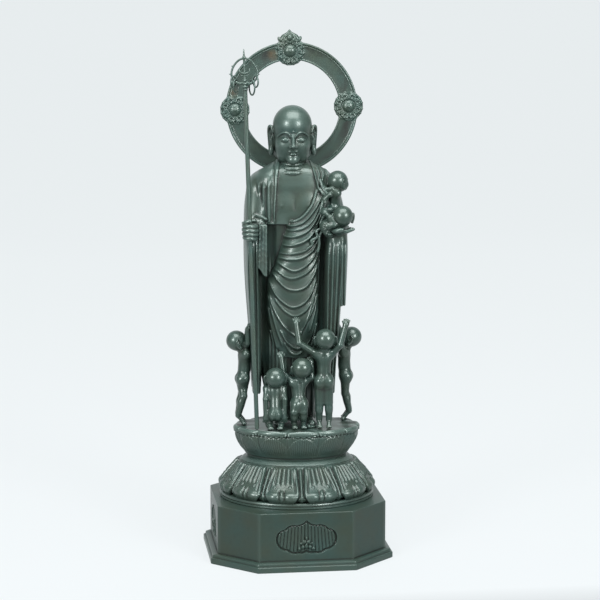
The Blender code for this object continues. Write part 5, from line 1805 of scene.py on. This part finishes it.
def plinth(pedestal, material):
    """Oblong with cut corners on a stepped lip, with sunk panels in front and at the sides."""
    lip, out = pedestal.lip_height / MM, pedestal.lip_overhang / MM
    half_width, half_depth = ((PLINTH_HIGH - PLINTH_LOW) / 2.0 / MM).xy - Vector((out, out))
    top = (PLINTH_HIGH.z - PLINTH_LOW.z) / MM
    cuts = (pedestal.corner_x / MM, pedestal.corner_y / MM)
    profile = plinth_profile(lip, out, top)
    heights = np.array(profile)[:, :1]
    levels = [plinth_ring(octagon(half_width, half_depth, *cuts, grow)) for _, grow in profile]
    rings = np.concatenate([levels, np.repeat(heights[:, None], len(levels[0]), axis=1)], axis=2)
    tall = (top - lip) - MARGIN_TOP - MARGIN_FOOT
    middle = lip + MARGIN_FOOT + PANEL_LEVEL * tall
    front = 2.0 * (half_width - cuts[0] - MARGIN_SIDE)
    side = 2.0 * (half_depth - cuts[1] - MARGIN_SIDE)
    begin = 1
    for count, width in zip(FACE_POINTS, (front, 0, side, 0, 0, 0, side, 0)):
        columns = slice(begin, begin + count)
        begin += count + 2
        if width:
            plain = rings[len(rings) // 2, columns]
            span = np.linalg.norm(plain[-1] - plain[0])
            along = (plain[-1] - plain[0]) / span
            x = (np.linspace(0.0, 1.0, count) - 0.5) * span
            relief = panel_relief(x[None, :], heights - middle, width, tall, pedestal.panel_depth / MM)
            relief = np.where(heights > lip + 2.0, relief, 0.0)
            rings[:, columns] += relief[:, :, None] * np.array((along[1], -along[0], 0.0))
    mesh = closed_rings("plinth", rings)
    place = Matrix.Translation((0, 0, PLINTH_LOW.z))
    finish_casting("plinth_cast", mesh, place, material, "plinth", sharp=30.0)


# Stage

def backdrop_paint(stage):
    """Plain matt paint that glows a little of its own."""
    recipe = Recipe("backdrop_paint")
    place = recipe.node("ShaderNodeTexCoord")["Object"]
    y = recipe.node("ShaderNodeSeparateXYZ", None, (place,))["Y"]
    dim = [value * stage.front_glow for value in stage.glow_colour]
    glow = recipe.blend((y * 3.3 + 1.75).held(), (*dim, 1.0), (*stage.glow_colour, 1.0))
    recipe.feed(recipe.shader.inputs["Emission Color"], glow)
    for socket, value in (
        ("Emission Strength", 1.0), ("Base Color", (*stage.floor_colour, 1.0)), ("Roughness", 0.9),
    ):
        recipe.shader.inputs[socket].default_value = value
    return recipe.material


def cove(stage):
    """A floor that sweeps up into the backdrop."""
    flat, sweep = 3.0, 2.5
    profile = [(-6.0, 0.0), (flat, 0.0)]
    for step in range(1, 13):
        angle = math.radians(90.0 * step / 12.0)
        profile.append((flat + sweep * math.sin(angle), sweep - sweep * math.cos(angle)))
    profile.append((flat + sweep, 9.0))
    shape = bmesh.new()
    rows = [[shape.verts.new((x, y, z)) for x in (-9.0, 9.0)] for y, z in profile]
    for low, high in zip(rows, rows[1:]):
        shape.faces.new((low[0], low[1], high[1], high[0]))
    mesh = bpy.data.meshes.new("backdrop")
    shape.to_mesh(mesh)
    shape.free()
    mesh.shade_smooth()
    mesh.materials.append(backdrop_paint(stage))
    item = bpy.data.objects.new("backdrop", mesh)
    bpy.context.scene.collection.objects.link(item)


def softbox(name, place, aim, size, power):
    lamp = bpy.data.lights.new(name, "AREA")
    lamp.shape = "RECTANGLE"
    lamp.size, lamp.size_y = size
    lamp.energy = power
    item = bpy.data.objects.new(name, lamp)
    item.location = place
    item.rotation_euler = (Vector(aim) - Vector(place)).to_track_quat("-Z", "Y").to_euler()
    bpy.context.scene.collection.objects.link(item)


def surroundings(strength, colour):
    world = bpy.data.worlds.new("studio")
    world.use_nodes = True
    background = world.node_tree.nodes["Background"]
    background.inputs["Color"].default_value = (*colour, 1.0)
    background.inputs["Strength"].default_value = strength
    bpy.context.scene.world = world


def camera(stage):
    data = bpy.data.cameras.new("camera")
    data.lens = stage.lens
    data.sensor_width = 36.0
    data.dof.use_dof = False
    item = bpy.data.objects.new("camera", data)
    item.location = stage.eye
    item.rotation_euler = (stage.tilt, 0.0, stage.swing)
    bpy.context.scene.collection.objects.link(item)
    bpy.context.scene.camera = item


# Operators

# Middle and reach of the brown stains, beside the halo's top and left ornaments
STAINS = (((-0.027, 0.055, 0.707), 0.010), ((-0.084, 0.052, 0.654), 0.010))

COATS = {
    "figure_patina": {},
    "children_patina": {"gloss": 0.02, "wear": 0.3},
    "fittings_patina": {"lift": 1.2, "stain": STAINS},
    "seat_patina": {},
    "lotus_patina": {"gloss": -0.02, "wear": 0.4},
    "plinth_patina": {"gloss": -0.04, "lift": 0.85, "wear": 0.2, "shine": 0.25},
}


def coat(name):
    """A group's bronze, made once."""
    return bpy.data.materials.get(name) or patina(name, bpy.context.scene.jizo_patina, **COATS[name])


class JIZO_OT_figure(bpy.types.Operator):
    """Model the standing figure: robes, kesa, hands, feet and shaven head"""

    bl_idname = "jizo.figure"
    bl_label = "Standing Figure"

    def execute(self, context):
        jizo_figure(context.scene.jizo_figures, coat("figure_patina"))
        return {"FINISHED"}


class JIZO_OT_children(bpy.types.Operator):
    """Model five children on the seat and two that cling to the left arm"""

    bl_idname = "jizo.children"
    bl_label = "Children"

    def execute(self, context):
        for name, pose in CHILDREN.items():
            child(context.scene.jizo_figures, name, pose, coat("children_patina"))
        return {"FINISHED"}


class JIZO_OT_staff(bpy.types.Operator):
    """Model the staff with its pear-shaped hoop"""

    bl_idname = "jizo.staff"
    bl_label = "Staff"

    def execute(self, context):
        staff(context.scene.jizo_figures, coat("fittings_patina"))
        return {"FINISHED"}


class JIZO_OT_staff_rings(bpy.types.Operator):
    """Model the four loose rings on the staff's hoop"""

    bl_idname = "jizo.staff_rings"
    bl_label = "Staff Rings"

    def execute(self, context):
        staff_rings(context.scene.jizo_figures, coat("fittings_patina"))
        return {"FINISHED"}


class JIZO_OT_halo(bpy.types.Operator):
    """Model the halo with its three ornaments and lug"""

    bl_idname = "jizo.halo"
    bl_label = "Halo"

    def execute(self, context):
        halo(context.scene.jizo_figures, coat("fittings_patina"))
        return {"FINISHED"}


class JIZO_OT_seat(bpy.types.Operator):
    """Model the lotus seat"""

    bl_idname = "jizo.seat"
    bl_label = "Lotus Seat"

    def execute(self, context):
        scene = context.scene
        seat(scene.jizo_pedestal, scene.jizo_figures, coat("seat_patina"))
        return {"FINISHED"}


class JIZO_OT_lower_lotus(bpy.types.Operator):
    """Model the lower lotus"""

    bl_idname = "jizo.lower_lotus"
    bl_label = "Lower Lotus"

    def execute(self, context):
        scene = context.scene
        lower_lotus(scene.jizo_pedestal, scene.jizo_figures, coat("lotus_patina"))
        return {"FINISHED"}


class JIZO_OT_plinth(bpy.types.Operator):
    """Model the plinth"""

    bl_idname = "jizo.plinth"
    bl_label = "Plinth"

    def execute(self, context):
        plinth(context.scene.jizo_pedestal, coat("plinth_patina"))
        return {"FINISHED"}


class JIZO_OT_stage(bpy.types.Operator):
    """Set up the pale floor, the soft lights and the camera"""

    bl_idname = "jizo.stage"
    bl_label = "Stage"

    def execute(self, context):
        stage = context.scene.jizo_stage
        cove(stage)
        surroundings(stage.sky, stage.sky_colour)
        for name, x, y in (("front_left", -2.4, -2.4), ("front_right", 1.75, -2.9)):
            softbox(name, (x, y, 1.35), (0, 0, 0.45), (1.0, 1.2), stage.key_power)
        softbox("overhead", (0.0, -0.8, 2.5), (0, 0, 0.5), (2.4, 1.6), stage.top_power)
        camera(stage)
        context.scene.view_settings.view_transform = "Standard"
        return {"FINISHED"}


class JIZO_PT_panel(bpy.types.Panel):
    """Lists the statue's pieces and their settings"""

    bl_idname = "JIZO_PT_panel"
    bl_label = "Bronze Jizo"
    bl_space_type = "VIEW_3D"
    bl_region_type = "UI"
    bl_category = "Jizo"

    def draw(self, context):
        column = self.layout.column(align=True)
        for operator in OPERATORS:
            column.operator(operator.bl_idname)
        for name in SETTINGS:
            group = getattr(context.scene, name)
            box = self.layout.box()
            for key in group.__annotations__:
                box.prop(group, key)


OPERATORS = (
    JIZO_OT_plinth, JIZO_OT_lower_lotus, JIZO_OT_seat, JIZO_OT_figure, JIZO_OT_children,
    JIZO_OT_staff, JIZO_OT_staff_rings, JIZO_OT_halo, JIZO_OT_stage,
)
SETTINGS = {
    "jizo_patina": JizoPatina,
    "jizo_figures": JizoFigures,
    "jizo_pedestal": JizoPedestal,
    "jizo_stage": JizoStage,
}


def register():
    for group in SETTINGS.values():
        bpy.utils.register_class(group)
    for operator in OPERATORS:
        bpy.utils.register_class(operator)
    bpy.utils.register_class(JIZO_PT_panel)
    for name, group in SETTINGS.items():
        setattr(bpy.types.Scene, name, PointerProperty(type=group))


def unregister():
    for name in SETTINGS:
        delattr(bpy.types.Scene, name)
    for operator in (JIZO_PT_panel, *reversed(OPERATORS), *SETTINGS.values()):
        bpy.utils.unregister_class(operator)


def main():
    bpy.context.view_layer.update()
    register()
    bpy.ops.jizo.plinth()
    bpy.ops.jizo.lower_lotus()
    bpy.ops.jizo.seat()
    bpy.ops.jizo.figure()
    bpy.ops.jizo.children()
    bpy.ops.jizo.staff()
    bpy.ops.jizo.staff_rings()
    bpy.ops.jizo.halo()
    bpy.ops.jizo.stage()


if __name__ == "__main__":
    main()
